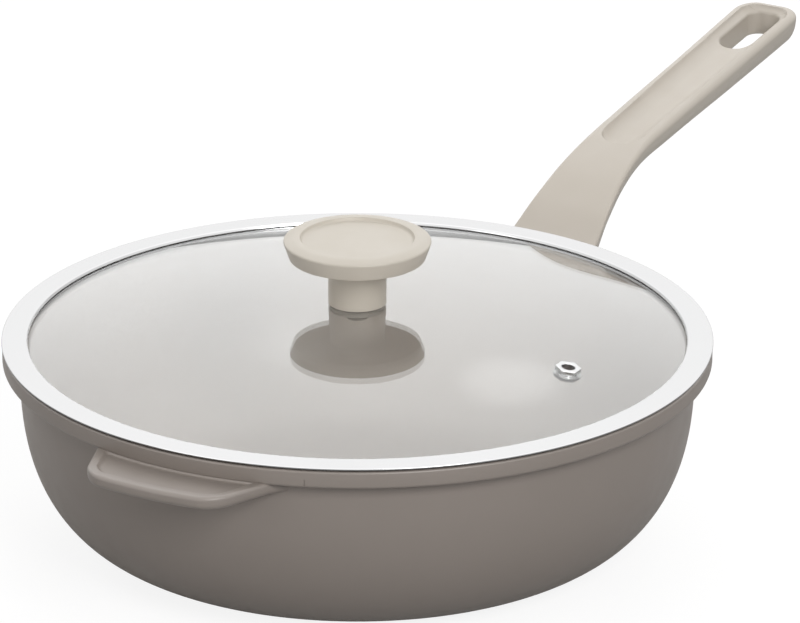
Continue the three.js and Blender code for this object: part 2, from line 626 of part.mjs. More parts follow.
// Knob, from the glass up
const KNOB_FOOT = RING_TOP + DOME_RISE + KNOB_GASKET_THICKNESS;
const KNOB_UNDER = KNOB_FOOT + KNOB_STEM_LENGTH;
const KNOB_TOP = KNOB_UNDER + KNOB_DISC_THICKNESS;
const KNOB_INSERT_RADIUS = KNOB_SCREW_RADIUS + FIT + KNOB_INSERT_WALL;

function knobGrip() {
  const low = KNOB_RADIUS - KNOB_TAPER;
  const floor = KNOB_TOP - KNOB_RECESS_DEPTH;
  const pocket = KNOB_INSERT_RADIUS + FIT;
  const pocketTop = KNOB_FOOT + KNOB_INSERT_LENGTH + FIT;
  return turned([
    [0, floor], [KNOB_RECESS_RADIUS - 2 * KNOB_RECESS_DEPTH, floor],
    [KNOB_RECESS_RADIUS - KNOB_RECESS_DEPTH, floor + KNOB_RECESS_DEPTH / 4], [KNOB_RECESS_RADIUS, KNOB_TOP],
    ...arc(KNOB_RADIUS - KNOB_ROUND, KNOB_TOP - KNOB_ROUND, KNOB_ROUND, 90, 0, 3),
    ...arc(low - KNOB_ROUND, KNOB_UNDER + KNOB_ROUND, KNOB_ROUND, 0, -90, 3),
    [KNOB_STEM_RADIUS + KNOB_ROUND, KNOB_UNDER], [KNOB_STEM_RADIUS, KNOB_UNDER - KNOB_ROUND],
    [KNOB_STEM_RADIUS, KNOB_FOOT + GAP], [KNOB_STEM_RADIUS - GAP, KNOB_FOOT],
    [pocket, KNOB_FOOT], [pocket, pocketTop], [0, pocketTop],
  ], SMALL_STEPS);
}

// Pan
add('pan_body', panBody(), 'coated_cast');
add('base_disc', baseDisc(), 'base_steel');
add('handle_grip', handleGrip(), 'soft_grip');

// The handle's fastening, square to the tongue
const fastening = new THREE.Group();
fastening.applyMatrix4(lugFrame);
fastening.translateX(TONGUE_SCREW_PLACE);
wok.add(fastening);
const WASHER_TOP = UNDERSIDE + HANDLE_COUNTERBORE - GAP;
const HEAD_TOP = WASHER_TOP - HANDLE_WASHER_THICKNESS - FIT;
add('handle_insert', washer(HANDLE_SCREW_RADIUS + FIT, HANDLE_INSERT_RADIUS,
  -TONGUE_THICKNESS / 2, TONGUE_THICKNESS / 2, TINY_STEPS), 'brass', fastening);
add('handle_washer', washer(HANDLE_SCREW_RADIUS + FIT, HANDLE_HEAD_RADIUS,
  WASHER_TOP - HANDLE_WASHER_THICKNESS, WASHER_TOP, TINY_STEPS), 'bright_steel', fastening);
add('handle_screw', screw(HANDLE_SCREW_RADIUS, HANDLE_HEAD_RADIUS, HANDLE_HEAD_HEIGHT,
  HEAD_TOP, TONGUE_THICKNESS / 2 - FIT, TINY_STEPS), 'bright_steel', fastening);

// Lid
const lid = new THREE.Group();
wok.add(lid);
add('lid_glass', lidGlass(), 'smoked_glass', lid);
add('lid_rim', lidRim(), 'polished_steel', lid);

const vent = new THREE.Group();
vent.applyMatrix4(ventFrame());
lid.add(vent);
add('vent_eyelet', ventEyelet(), 'bright_steel', vent);
const VENT_WASHER_TOP = -GLASS_THICKNESS - GAP;
add('vent_washer', washer(VENT_BORE_RADIUS + VENT_TUBE_WALL + GAP, VENT_WASHER_RADIUS,
  VENT_WASHER_TOP - VENT_WASHER_THICKNESS, VENT_WASHER_TOP, TINY_STEPS), 'bright_steel', vent);

// Knob and its fastening through the middle of the glass
const GLASS_UNDER = glassBottom(KNOB_STEM_RADIUS);
const LOWER_GASKET_TOP = GLASS_UNDER - FIT;
const LOWER_GASKET_BOTTOM = LOWER_GASKET_TOP - KNOB_LOWER_GASKET_THICKNESS;
const WASHER_BOTTOM = LOWER_GASKET_BOTTOM - KNOB_WASHER_THICKNESS;
const KNOB_SCREW_HOLE = KNOB_SCREW_RADIUS + FIT;
add('knob_grip', knobGrip(), 'soft_grip', lid);
add('knob_insert', washer(KNOB_SCREW_HOLE, KNOB_INSERT_RADIUS,
  KNOB_FOOT + FIT, KNOB_FOOT + KNOB_INSERT_LENGTH, SMALL_STEPS), 'brass', lid);
add('knob_gasket_upper', washer(KNOB_SCREW_HOLE, KNOB_STEM_RADIUS - KNOB_GASKET_INSET,
  KNOB_FOOT - KNOB_GASKET_THICKNESS, KNOB_FOOT, SMALL_STEPS), 'dark_silicone', lid);
add('knob_gasket_lower', washer(KNOB_SCREW_HOLE, KNOB_STEM_RADIUS - KNOB_GASKET_INSET,
  LOWER_GASKET_BOTTOM, LOWER_GASKET_TOP, SMALL_STEPS), 'dark_silicone', lid);
add('knob_washer', washer(KNOB_SCREW_HOLE, KNOB_WASHER_RADIUS, WASHER_BOTTOM, LOWER_GASKET_BOTTOM,
  SMALL_STEPS), 'bright_steel', lid);
add('knob_screw', screw(KNOB_SCREW_RADIUS, KNOB_HEAD_RADIUS, KNOB_HEAD_HEIGHT, WASHER_BOTTOM,
  KNOB_FOOT + KNOB_SCREW_REACH, SMALL_STEPS), 'bright_steel', lid);

export default wok;
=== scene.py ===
import math

import bmesh
import bpy
from mathutils import Matrix, Vector


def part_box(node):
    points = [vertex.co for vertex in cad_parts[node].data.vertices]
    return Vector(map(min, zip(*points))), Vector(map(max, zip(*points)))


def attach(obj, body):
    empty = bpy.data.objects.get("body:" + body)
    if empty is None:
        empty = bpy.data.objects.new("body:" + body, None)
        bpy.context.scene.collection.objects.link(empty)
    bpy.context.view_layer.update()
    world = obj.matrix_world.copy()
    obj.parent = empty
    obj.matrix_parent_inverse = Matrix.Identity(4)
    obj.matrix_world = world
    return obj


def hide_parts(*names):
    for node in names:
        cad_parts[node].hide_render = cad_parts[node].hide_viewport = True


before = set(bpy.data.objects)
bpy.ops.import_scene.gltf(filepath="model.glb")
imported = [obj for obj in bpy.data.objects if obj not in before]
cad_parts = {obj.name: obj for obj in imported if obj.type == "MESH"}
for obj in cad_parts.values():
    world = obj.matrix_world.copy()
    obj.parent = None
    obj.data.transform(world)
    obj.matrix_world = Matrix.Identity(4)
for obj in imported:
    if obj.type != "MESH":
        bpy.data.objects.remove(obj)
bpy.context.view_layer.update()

# Pieces are modelled in millimetres and turned into metres when they are finished.
# The long handle points along +X, the helper handle along -X, and the pan stands on z = 0.
MM = 0.001


def corners(node):
    """Lowest and highest corner of a CAD node, in millimetres."""
    low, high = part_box(node)
    return low / MM, high / MM


# Levels and radii read from the frame
PAN_LOW, PAN_HIGH = corners("pan_body")
RING_HIGH = corners("lid_rim")[1]
KNOB_LOW, KNOB_HIGH = corners("knob_grip")
GRIP_HIGH = corners("handle_grip")[1]
GASKET_LOW = corners("knob_gasket_upper")[0]
DISC_LOW, DISC_HIGH = corners("base_disc")
BAND_RADIUS = PAN_HIGH.y
RIM_TOP = PAN_HIGH.z
RING_RADIUS = RING_HIGH.y
RING_TOP = RING_HIGH.z
KNOB_RADIUS = KNOB_HIGH.x
DOME_TOP = GASKET_LOW.z

# Camera: its place in metres, where it looks in degrees, its lens and sensor in millimetres
CAMERA_PLACE = (-2.9640, -1.70995, 1.40605)
CAMERA_AZIMUTH = 30
CAMERA_PITCH = 20.93
CAMERA_LENS = 405
CAMERA_SENSOR = 36
CAMERA_SHIFT = 0.0568
CAMERA_NEAR = 0.1
CAMERA_FAR = 60

# Pan casting
BAND_STEP = 7
BAND_HEIGHT = 7.3
BAND_FILLET = 1.1
BAND_TOP_EDGE = 1.0
BAND_LOW_EDGE = 1.4
WALL = 3.2
FLOOR = 4.5
BASE_FLAT_RADIUS = 80
BASE_Z = PAN_LOW.z
WALL_FULLNESS_SHARE = 2.42
BASE_FULLNESS_SHARE = 2.5
SEAT_INSIDE = 6.8
SEAT_FLARE = 2.4
SEAT_DEPTH = 6.5
SEAT_TOP_EDGE = 0.5
SEAT_BEND = 0.8
SEAT_FOOT_ROUND = 1.2
WALL_RADIUS = BAND_RADIUS - BAND_STEP
BAND_BOTTOM = RIM_TOP - BAND_HEIGHT
SEAM_DEGREES = -158.3
SEAM_WIDTH = 0.4
SEAM_DEPTH = 0.3
SEAM_HEIGHT = 3.6

# Helper handle
HELPER_REACH = 167.2
HELPER_CORNER = 8
HELPER_TOP = BAND_BOTTOM + 0.7
HELPER_THICKNESS = 5.4
HELPER_SIDE_NEAR = (144, 39.4)
HELPER_SIDE_FAR = (168, 29.6)
HELPER_FLARE = 3
HELPER_TOP_EDGE = 1.6
HELPER_LOW_EDGE = 2.4
RECESS_START = BAND_RADIUS - 0.2
RECESS_END = 162.3
RECESS_SIDE_NEAR = (143, 34.6)
RECESS_SIDE_FAR = (162.3, 27.4)
RECESS_REAR_CORNER = 1.5
RECESS_CORNER = 5.5
RECESS_DEPTH = 1
RECESS_WALL = 1.6
RECESS_LIP = 0.5
RECESS_LEAD = 0.3

# Long handle
HANDLE_ROOT = 150
HANDLE_LENGTH = GRIP_HIGH.x - HANDLE_ROOT
HANDLE_RISE = 50.7
HANDLE_ROOT_TOP = GRIP_HIGH.z - HANDLE_RISE
ROOT_WIDTH = 42.8
GRIP_WIDTH = 29.8
TIP_CORNER = 10
ROOT_DEGREES = 20
TOP_HEIGHT_SHARES = [
    (0, 0), (0.0694, 0.1115), (0.148, 0.3195), (0.2315, 0.501), (0.333, 0.637),
    (0.463, 0.723), (0.648, 0.8205), (0.833, 0.916), (1, 1.003),
]
ROOT_WIDENING_SHARES = [
    (0, 1), (0.0694, 0.846), (0.148, 0.477), (0.2315, 0.138), (0.333, -0.108),
    (0.463, -0.115), (0.694, -0.062), (0.903, 0), (1, 0),
]
# Thickness, width and height of the rolled top edge, and width of the belly below it, at six places
SECTION_PLACES = (0, 30, 60, 90, 150, 216)
THICKNESSES = (13, 11, 11, 11.4, 12.2, 12.8)
ROLL_WIDTHS = (1.2, 1.2, 2, 3.6, 4.2, 3.2)
ROLL_HEIGHTS = (1.2, 1.2, 1.6, 2.4, 2.8, 2)
BELLY_WIDTHS = (2.5, 8.5, 8.5, 6.5, 6, 6)
UPRIGHT_STRIP = 0.3
SCOOP_START = 69
SCOOP_END = 212.6
SCOOP_HALF_START = 9.3
SCOOP_HALF_END = 11.4
SCOOP_TIP_CORNER = 8
SCOOP_LEAD = 1
SCOOP_DEPTHS = (4, 2.9)
SCOOP_WALL = 7.5
SCOOP_SOFTNESS = 0.55
SLOT_START = 174
SLOT_END = 210.1
SLOT_HALF = 7.6
SLOT_NEAR_CORNER = 7.6
SLOT_FAR_CORNER = 5
SLOT_EDGE = 0.9
SLOT_LEAD = 2
SLOT_TAIL = 0.02
COUNTERBORE_PLACE = 11
COUNTERBORE_RADIUS = 4.6
COUNTERBORE_DEPTH = 1.2

# Lug between the wall and the handle's root
LUG_LENGTH = 12.3
LUG_WIDTH = 36
LUG_FLARE = 5
LUG_EDGE = 1.6
LUG_GAP = 0.3
LUG_THICKNESS = 11
LUG_STEP = 2.2
LUG_OVERLAP = 3

# Glass lid, its steel ring, the vent and the knob
RING_WIDTH = 10.8
RING_SHEET = 0.8
RING_EDGE = 0.7
RING_SLOPE = 0.35
RING_FLAT_START = 1.3
RING_INNER_ROUND = 0.5
RING_LIP_LEAN = 0.45
RING_LIP_FACE = 0.3
RING_LIP_ROUND = 0.12
RING_LIP_LOW_ROUND = 0.05
RING_LIP_GAP = 0.12
RING_OUTER_ROUND = 0.33
RING_OUTER_LOW_ROUND = 0.25
RING_HEM = 1.4
RING_HEM_ROUND = 0.3
RING_UNDERCUT = 2.4
COLLAR_TOP_ROUND = 0.6
COLLAR_LOW_ROUND = 0.7
CLASP_ROUND = 0.3
CHANNEL_ROUND = 0.2
GLASS_THICKNESS = 4
GLASS_TUCK = 1.8
GLASS_HOLE = 4
GLASS_GAP = 0.3
VENT_INSET = 34.6
VENT_DEGREES = -91.8
VENT_TURN_DEGREES = 32
VENT_BORE = 2.75
VENT_TUBE = 0.7
VENT_HEX = 5.4
VENT_HUB = 4.3
VENT_PLATE = 0.7
VENT_GAP = 0.35
VENT_SEAT = 0.08
VENT_ROUND = 0.25
VENT_BORE_ROUND = 0.3
VENT_PLATE_LOW_ROUND = 0.15
VENT_HUB_ROUND = 0.1
VENT_NECK_ROUND = 0.02
VENT_UNDER = 5.7
VENT_LIP = 1.1
VENT_LIP_HEIGHT = 0.7
VENT_LIP_TOP_ROUND = 0.25
VENT_LIP_LOW_ROUND = 0.3
KNOB_TAPER = 2.3
KNOB_FLARE = 0.2
KNOB_CROWN_START = 26
KNOB_CROWN_FALL = 1.3
KNOB_CROWN_ROUND = 9
KNOB_DISC = 8.4
KNOB_STEM = 11.85
KNOB_SKIRT = 11.4
KNOB_TOP_EDGE = 0.8
KNOB_EDGE = 0.6
KNOB_RAISE = 0.1
KNOB_RECESS = 23.3
KNOB_RECESS_DEPTH = 1.5
KNOB_RECESS_SLOPE = 0.7
KNOB_RECESS_FOOT_ROUND = 1.1
KNOB_RECESS_EDGE = 0.5
KNOB_NECK_ROUND = 0.8
KNOB_FOOT_GAP = 0.2
KNOB_FOOT_ROUND = 0.15
KNOB_SKIRT_ROUND = 0.1
KNOB_BORE = 4.2
KNOB_BORE_DEPTH = 14.1
KNOB_BORE_ROUND = 0.2

# Base disc
DISC_EDGE = 0.5
DIMPLE_RADIUS = 1.6
DIMPLE_DEPTH = 0.7
DIMPLE_ROWS = ((26, 8), (42, 12), (58, 16))

# Colours: red, green and blue from 0 to 1, in linear light
TAUPE = (0.228, 0.198, 0.176)
TAUPE_CLOUD = ((0.221, 0.192, 0.17), (0.235, 0.204, 0.182))
KNOB_BEIGE = (0.498, 0.457, 0.394)
HANDLE_BEIGE = (0.47, 0.427, 0.371)
BEIGE_CLOUD_SHARES = (0.97, 1.03)
SILICONE = (0.252, 0.234, 0.21)
SILICONE_CLOUD = ((0.24, 0.223, 0.2), (0.264, 0.245, 0.22))
RING_STEEL = (0.37, 0.37, 0.372)
BRIGHT_STEEL = (0.37, 0.37, 0.365)
# Painted shade: a darkened copy of the steel for the washer under the glass, so that it stays dim there
PAINTED_SHADE_STEEL = (0.09, 0.09, 0.09)
BASE_STEEL = (0.6, 0.59, 0.57)
BRASS = (0.6, 0.42, 0.15)
GLASS_TINT = (0.958, 0.972, 0.962)
FILM_CLEAR = 0.97
# Painted sheen: a diffuse grey on the glass for shadow and diffuse rays, standing in for the light the
# glass reflects
FILM_PAINTED_SHEEN = 0.24
# Vent steel: its grey, the painted shade below its flange and how far above the gap it reaches, and the
# painted glint inside its bore and how far out from the bore it reaches, in millimetres
VENT_SHADE = 0.37
VENT_PAINTED_SHADE = 0.29
VENT_PAINTED_SHADE_REACH = 0.1
VENT_PAINTED_GLINT = 0.4
VENT_PAINTED_GLINT_REACH = 0.05
NOISE_RANGE = (0.3, 0.7)

# Lamps: place, target and width in metres, power in watts, and whether gloss and glass show the lamp
LAMPS = (
    ("front_right", (-1.12, -1.49, 1.22), (0, 0, 0.05), 1.0, 27.5, True),
    ("front_left", (-2.0, 0.75, 0.6), (0, 0, 0.05), 1.0, 6.2, True),
    ("overhead", (1.35, 0.62, 1.6), (0, 0, 0), 1.8, 18.3, False),
    ("back_left", (0.51, 1.91, 1.0), (0, 0, 0.05), 1.0, 8.3, False),
)

# Surroundings: the sky is what gloss and glass show and the fill is what lights matt surfaces. Both are
# given by powers of the sine of the height above the horizon. The glow's angles are in degrees.
SKY = (1.28, 2.25, -0.6)
FILL = (0.133, 0.35)
GLOW = 0.5
GLOW_AZIMUTH = 21.8
GLOW_HEIGHT = 34.1
GLOW_HALF_SIZES = (2.8, 5.6)
FLOOR_RADIUS = 6000
FLOOR_DROP = 0.1

# Floor: its shade where it lights the pan, and what the camera sees of it, lit and glowing by itself
FLOOR_SHADE = 0.5
FLOOR_KEPT = 0.168
FLOOR_GLOW = 0.87

# Fineness of the meshes
TURN_STEPS = 192
SMALL_TURN_STEPS = 96
BORE_STEPS = 48
DIMPLE_STEPS = 24
FLOOR_STEPS = 64
ARC_STEPS = 6
BOWL_STEPS = 40
DOME_STEPS = 30
HELPER_COLUMNS = 70
HANDLE_COLUMNS = 36
COLUMN_EASE = 0.8
MERGE = 0.001
SHARP_DEGREES = 38
RING_SHARP_DEGREES = 50
VENT_SHARP_DEGREES = 25

RING_INNER = RING_RADIUS - RING_WIDTH
GLASS_RADIUS = RING_INNER + GLASS_TUCK
DOME_SAG = DOME_TOP - RING_TOP + RING_SHEET + GLASS_GAP
DOME_RADIUS = (RING_INNER ** 2 + DOME_SAG ** 2) / (2 * DOME_SAG)
DOME_CENTRE = DOME_TOP - DOME_RADIUS


def glass_top(radius):
    return DOME_CENTRE + math.sqrt(DOME_RADIUS ** 2 - radius ** 2)


def glass_under(radius):
    return DOME_CENTRE + math.sqrt((DOME_RADIUS - GLASS_THICKNESS) ** 2 - radius ** 2)


# Camera and scene
def place_camera():
    """A long lens, high enough to see into the lid, looking past the helper to the long handle."""
    camera = bpy.data.cameras.new("camera")
    camera.lens = CAMERA_LENS
    camera.sensor_width = CAMERA_SENSOR
    camera.shift_x = CAMERA_SHIFT
    camera.clip_start = CAMERA_NEAR
    camera.clip_end = CAMERA_FAR
    place = bpy.data.objects.new("camera", camera)
    bpy.context.scene.collection.objects.link(place)
    azimuth, pitch = math.radians(CAMERA_AZIMUTH), math.radians(CAMERA_PITCH)
    level = math.cos(pitch)
    ahead = Vector((math.cos(azimuth) * level, math.sin(azimuth) * level, -math.sin(pitch)))
    place.location = CAMERA_PLACE
    place.rotation_mode = "QUATERNION"
    place.rotation_quaternion = ahead.to_track_quat("-Z", "Y")
    bpy.context.scene.camera = place
    bpy.context.scene.view_settings.view_transform = "Standard"


# Outlines and profiles
def filleted(points):
    """A profile of (radius, height, rounding) corners with each rounded corner turned into an arc."""
    made = []
    for i, (r, z, rounding) in enumerate(points):
        if not rounding:
            made.append((r, z))
            continue
        here = Vector((r, z))
        before = (Vector(points[i - 1][:2]) - here).normalized()
        after = (Vector(points[(i + 1) % len(points)][:2]) - here).normalized()
        half = before.angle(after) / 2
        centre = here + (before + after).normalized() * rounding / math.sin(half)
        start = here + before * rounding / math.tan(half) - centre
        end = here + after * rounding / math.tan(half) - centre
        turn = start.angle_signed(end)
        for k in range(ARC_STEPS + 1):
            angle = -turn * k / ARC_STEPS
            x = start.x * math.cos(angle) - start.y * math.sin(angle)
            y = start.x * math.sin(angle) + start.y * math.cos(angle)
            made.append((centre.x + x, centre.y + y))
    return made


def bowl_curve(top_radius, top_z, flat_radius, flat_z):
    """The bowl's curve from the flat base up to the top of the wall."""
    points = []
    for i in range(BOWL_STEPS + 1):
        angle = math.pi / 2 * (1 - i / BOWL_STEPS)
        out = abs(math.cos(angle)) ** (2 / WALL_FULLNESS_SHARE) if i else 0
        down = abs(math.sin(angle)) ** (2 / BASE_FULLNESS_SHARE)
        points.append((flat_radius + (top_radius - flat_radius) * out, top_z - (top_z - flat_z) * down))
    return points


def smooth_through(shares):
    """A smooth height over distance through a few share points."""
    last = len(shares) - 1
    slopes = []
    for i in range(last + 1):
        before, after = shares[max(i - 1, 0)], shares[min(i + 1, last)]
        slopes.append((after[1] - before[1]) / (after[0] - before[0]))

    def height(s):
        i = 0
        while i < last - 1 and s > shares[i + 1][0]:
            i += 1
        span = shares[i + 1][0] - shares[i][0]
        rise = shares[i + 1][1] - shares[i][1]
        t = (s - shares[i][0]) / span
        bend = t * (1 - t) * ((1 - t) * (slopes[i] * span - rise) - t * (slopes[i + 1] * span - rise))
        return shares[i][1] + t * rise + bend

    return height


def rounding(inside, width, height=None):
    """How far a rounded edge lies below its face, this far inside the outline."""
    short = 1 - min(max(inside / width, 0), 1)
    return (height or width) * (1 - math.sqrt(1 - short ** 2))


def hollow(inside, depth, wall, softness=0.5):
    """Depth of a dished recess, this far inside its outline."""
    share = min(max(inside / wall, 0), 1)
    return depth * (1 - (1 - share) ** 2) ** softness


def between(along, places, values):
    """The value at a place along, on straight lines between the given places."""
    for i in range(1, len(places)):
        if along <= places[i]:
            share = max((along - places[i - 1]) / (places[i] - places[i - 1]), 0)
            return values[i - 1] + (values[i] - values[i - 1]) * share
    return values[-1]


def inside_box(along, across, start, end, half, start_round, end_round):
    """Distance inside a box with rounded ends, less than nothing when outside."""
    middle = (start + end) / 2
    corner = start_round if along < middle else end_round
    q = (abs(along - middle) - (end - start) / 2 + corner, abs(across) - half + corner)
    return corner - math.hypot(max(q[0], 0), max(q[1], 0)) - min(max(q), 0)


def spaced(start, end, count, ease=0.0):
    """Places from start to end, closer together at both ends as ease grows to 1."""
    places = []
    for k in range(count + 1):
        t = k / count
        places.append(start + (end - start) * ((1 - ease) * t + ease * (1 - math.cos(math.pi * t)) / 2))
    return places


def joined(*runs):
    """Runs of places end to end, without doubles."""
    made = []
    for run in runs:
        made += run if not made else run[1:]
    return made


# Making meshes
def everything(bm):
    """All points, edges and faces of a mesh."""
    return bm.verts[:] + bm.edges[:] + bm.faces[:]


def spun(bm, profile, steps=TURN_STEPS, closed=True):
    """Turns a profile of (radius, height) pairs about Z."""
    verts = [bm.verts.new((r, 0, z)) for r, z in profile]
    pairs = list(zip(verts, verts[1:]))
    if closed:
        pairs.append((verts[-1], verts[0]))
    edges = [bm.edges.new(pair) for pair in pairs]
    bmesh.ops.spin(
        bm, geom=verts + edges, cent=(0, 0, 0), axis=(0, 0, 1),
        angle=2 * math.pi, steps=steps, use_merge=True, use_duplicate=False,
    )
    bmesh.ops.remove_doubles(bm, verts=bm.verts, dist=MERGE)
    bmesh.ops.recalc_face_normals(bm, faces=bm.faces)
    return bm


def plate(rows, columns, half, top, under, opening=lambda along: 0):
    """A solid in rows across its length, open along its middle line where it has an opening."""
    bm = bmesh.new()
    last = len(rows) - 1
    bmesh.ops.create_grid(bm, x_segments=last, y_segments=2 * columns, size=1)

    def row_of(v):
        return rows[round((v.co.x + 1) / 2 * last)]

    opened = []
    for edge in bm.edges:
        middle = all(abs(v.co.y) < 0.5 / columns for v in edge.verts)
        if middle and any(opening(row_of(v)) for v in edge.verts):
            opened.append(edge)
    bmesh.ops.split_edges(bm, edges=opened)
    along = bm.verts.layers.float.new("along")
    across = bm.verts.layers.float.new("across")
    for v in bm.verts:
        row = row_of(v)
        column = round(v.co.y * columns)
        side = column or sum(face.calc_center_median().y for face in v.link_faces)
        share = abs(column) / columns
        eased = (1 - COLUMN_EASE) * share + COLUMN_EASE * (1 - math.cos(math.pi * share)) / 2
        inner = opening(row)
        v[along] = row
        v[across] = math.copysign(inner + (half(row) - inner) * eased, side)
    below = bmesh.ops.extrude_face_region(bm, geom=bm.faces[:])["geom"]
    lowered = {v for v in below if isinstance(v, bmesh.types.BMVert)}
    for v in bm.verts:
        place = under if v in lowered else top
        v.co = place(v[along], v[across])
    bm.verts.layers.float.remove(along)
    bm.verts.layers.float.remove(bm.verts.layers.float["across"])
    bmesh.ops.recalc_face_normals(bm, faces=bm.faces)
    return bm


def object_from(name, bm, sharp=SHARP_DEGREES):
    """An object in metres from a bmesh in millimetres."""
    bmesh.ops.scale(bm, vec=(MM, MM, MM), verts=bm.verts)
    mesh = bpy.data.meshes.new(name)
    bm.to_mesh(mesh)
    bm.free()
    mesh.shade_smooth()
    mesh.set_sharp_from_angle(angle=math.radians(sharp))
    made = bpy.data.objects.new(name, mesh)
    bpy.context.scene.collection.objects.link(made)
    return made


def combined(kept, other, operation):
    """Joins another object to the kept one, or cuts it by the other, and drops the other."""
    step = kept.modifiers.new("combine", "BOOLEAN")
    step.operation = operation
    step.solver = "EXACT"
    step.object = other
    shape = kept.evaluated_get(bpy.context.evaluated_depsgraph_get())
    mesh = bpy.data.meshes.new_from_object(shape)
    kept.modifiers.clear()
    kept.data = mesh
    bpy.data.objects.remove(other)
    mesh.shade_smooth()
    mesh.set_sharp_from_angle(angle=math.radians(SHARP_DEGREES))
    return kept


def finished(piece, body, node, material):
    """A piece that rides on a body, stands for a CAD node and has its finish."""
    piece.data.materials.clear()
    piece.data.materials.append(material)
    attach(piece, body)
    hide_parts(node)
    return piece


# Shader nodes
def added(tree, kind, **values):
    """A shader node; each value goes to its input or its setting of that name."""
    made = tree.nodes.new(kind)
    for name, value in values.items():
        if name in made.inputs:
            made.inputs[name].default_value = value
        else:
            setattr(made, name, value)
    return made


def feed(taker, socket, value):
    """Gives a node's input a plain value, or links another node's output to it."""
    if isinstance(value, bpy.types.NodeSocket):
        taker.id_data.links.new(value, taker.inputs[socket])
    else:
        taker.inputs[socket].default_value = value


def number(tree, operation, *values):
    """A math node's result; each value is a number or another node's output."""
    made = added(tree, "ShaderNodeMath", operation=operation)
    for i, value in enumerate(values):
        feed(made, i, value)
    return made.outputs["Value"]


def vector(tree, operation, *values, result="Vector"):
    """A vector math node's result; each value is a vector or another node's output."""
    made = added(tree, "ShaderNodeVectorMath", operation=operation)
    for i, value in enumerate(values):
        feed(made, i, value)
    return made.outputs[result]


def blend(tree, share, low, high, start=0.0, end=1.0, smooth=False):
    """A value that goes from low to high as the share goes from start to end."""
    made = added(tree, "ShaderNodeMapRange", interpolation_type="SMOOTHSTEP" if smooth else "LINEAR")
    for name, value in (
        ("Value", share), ("From Min", start), ("From Max", end), ("To Min", low), ("To Max", high),
    ):
        feed(made, name, value)
    return made.outputs["Result"]


def own_place(tree):
    """The place on the piece itself, in metres."""
    place = tree.nodes.get("Texture Coordinate") or added(tree, "ShaderNodeTexCoord")
    return place.outputs["Object"]


def noise(tree, scale, detail, roughness=0.5):
    """Noise on the piece's own coordinates; scale counts per metre."""
    grain = added(tree, "ShaderNodeTexNoise", Scale=scale, Detail=detail, Roughness=roughness)
    feed(grain, "Vector", own_place(tree))
    return grain.outputs["Fac"]


def spread(tree, grain, low, high):
    """Noise spread from low to high, without its rare extremes."""
    return blend(tree, grain, low, high, *NOISE_RANGE)


def tinted(tree, share, first, second):
    """A colour between two, by a node's value."""
    mix = added(tree, "ShaderNodeMix", data_type="RGBA")
    for socket in mix.inputs:
        if socket.type == "RGBA" and socket.name in "AB":
            socket.default_value = (*(first if socket.name == "A" else second), 1)
    feed(mix, "Factor", share)
    return [out for out in mix.outputs if out.type == "RGBA"][0]


def bump(tree, height, strength, distance):
    """Fine relief in a surface; its full height is the distance, in metres."""
    made = added(tree, "ShaderNodeBump", Strength=strength, Distance=distance)
    feed(made, "Height", height)
    return made.outputs["Normal"]


def grey(value):
    return (value, value, value, 1)


def shown_for(tree, rays, usual, other):
    """The usual shader for most rays and the other one for these."""
    mix = added(tree, "ShaderNodeMixShader")
    feed(mix, "Fac", rays)
    feed(mix, 1, usual)
    feed(mix, 2, other)
    feed(tree.nodes["Material Output"], "Surface", mix.outputs["Shader"])


def both(tree, first, second):
    """Two shaders added up."""
    made = added(tree, "ShaderNodeAddShader")
    feed(made, 0, first)
    feed(made, 1, second)
    return made.outputs["Shader"]


# Materials
def material_with(name, color, metallic=0.0, roughness=0.5):
    """A material, its node tree and its shader."""
    material = bpy.data.materials.new(name)
    material.use_nodes = True
    tree = material.node_tree
    shader = tree.nodes["Principled BSDF"]
    shader.inputs["Base Color"].default_value = (*color, 1)
    shader.inputs["Metallic"].default_value = metallic
    shader.inputs["Roughness"].default_value = roughness
    return material, tree, shader


def coated_cast():
    """Satin coating over cast aluminium: a warm taupe with a faint orange-peel."""
    material, tree, shader = material_with("satin_taupe_coating", TAUPE, roughness=0.42)
    feed(shader, "Base Color", tinted(tree, noise(tree, scale=18, detail=3), *TAUPE_CLOUD))
    feed(shader, "Roughness", spread(tree, noise(tree, scale=60, detail=4), 0.36, 0.46))
    feed(shader, "Normal", bump(tree, noise(tree, scale=700, detail=3), strength=0.01, distance=0.0001))
    return material


def soft_grip(name, color):
    """Beige soft-touch moulding with a very fine grain."""
    material, tree, shader = material_with(name, color, roughness=0.44)
    cloud = [[share * channel for channel in color] for share in BEIGE_CLOUD_SHARES]
    feed(shader, "Base Color", tinted(tree, noise(tree, scale=25, detail=3), *cloud))
    feed(shader, "Roughness", spread(tree, noise(tree, scale=90, detail=4), 0.39, 0.49))
    feed(shader, "Normal", bump(tree, noise(tree, scale=1400, detail=2), strength=0.15, distance=0.00008))
    return material


def steel(name, color, roughness):
    """Stainless steel with faint wipe marks in its gloss."""
    material, tree, shader = material_with(name, color, metallic=1.0, roughness=roughness)
    wipes = noise(tree, scale=45, detail=5, roughness=0.6)
    feed(shader, "Roughness", spread(tree, wipes, roughness * 0.8, roughness * 1.25))
    feed(shader, "Normal", bump(tree, noise(tree, scale=500, detail=2), strength=0.03, distance=0.00005))
    return material


def turned_steel():
    """Steel base with fine rings left by turning."""
    material, tree, shader = material_with("turned_base_steel", BASE_STEEL, metallic=1.0, roughness=0.34)
    rings = added(
        tree, "ShaderNodeTexWave", wave_type="RINGS", rings_direction="Z", Scale=160, Distortion=0.4,
    )
    feed(rings, "Vector", own_place(tree))
    feed(shader, "Roughness", spread(tree, noise(tree, scale=70, detail=4), 0.28, 0.42))
    feed(shader, "Normal", bump(tree, rings.outputs["Fac"], strength=0.2, distance=0.00006))
    return material


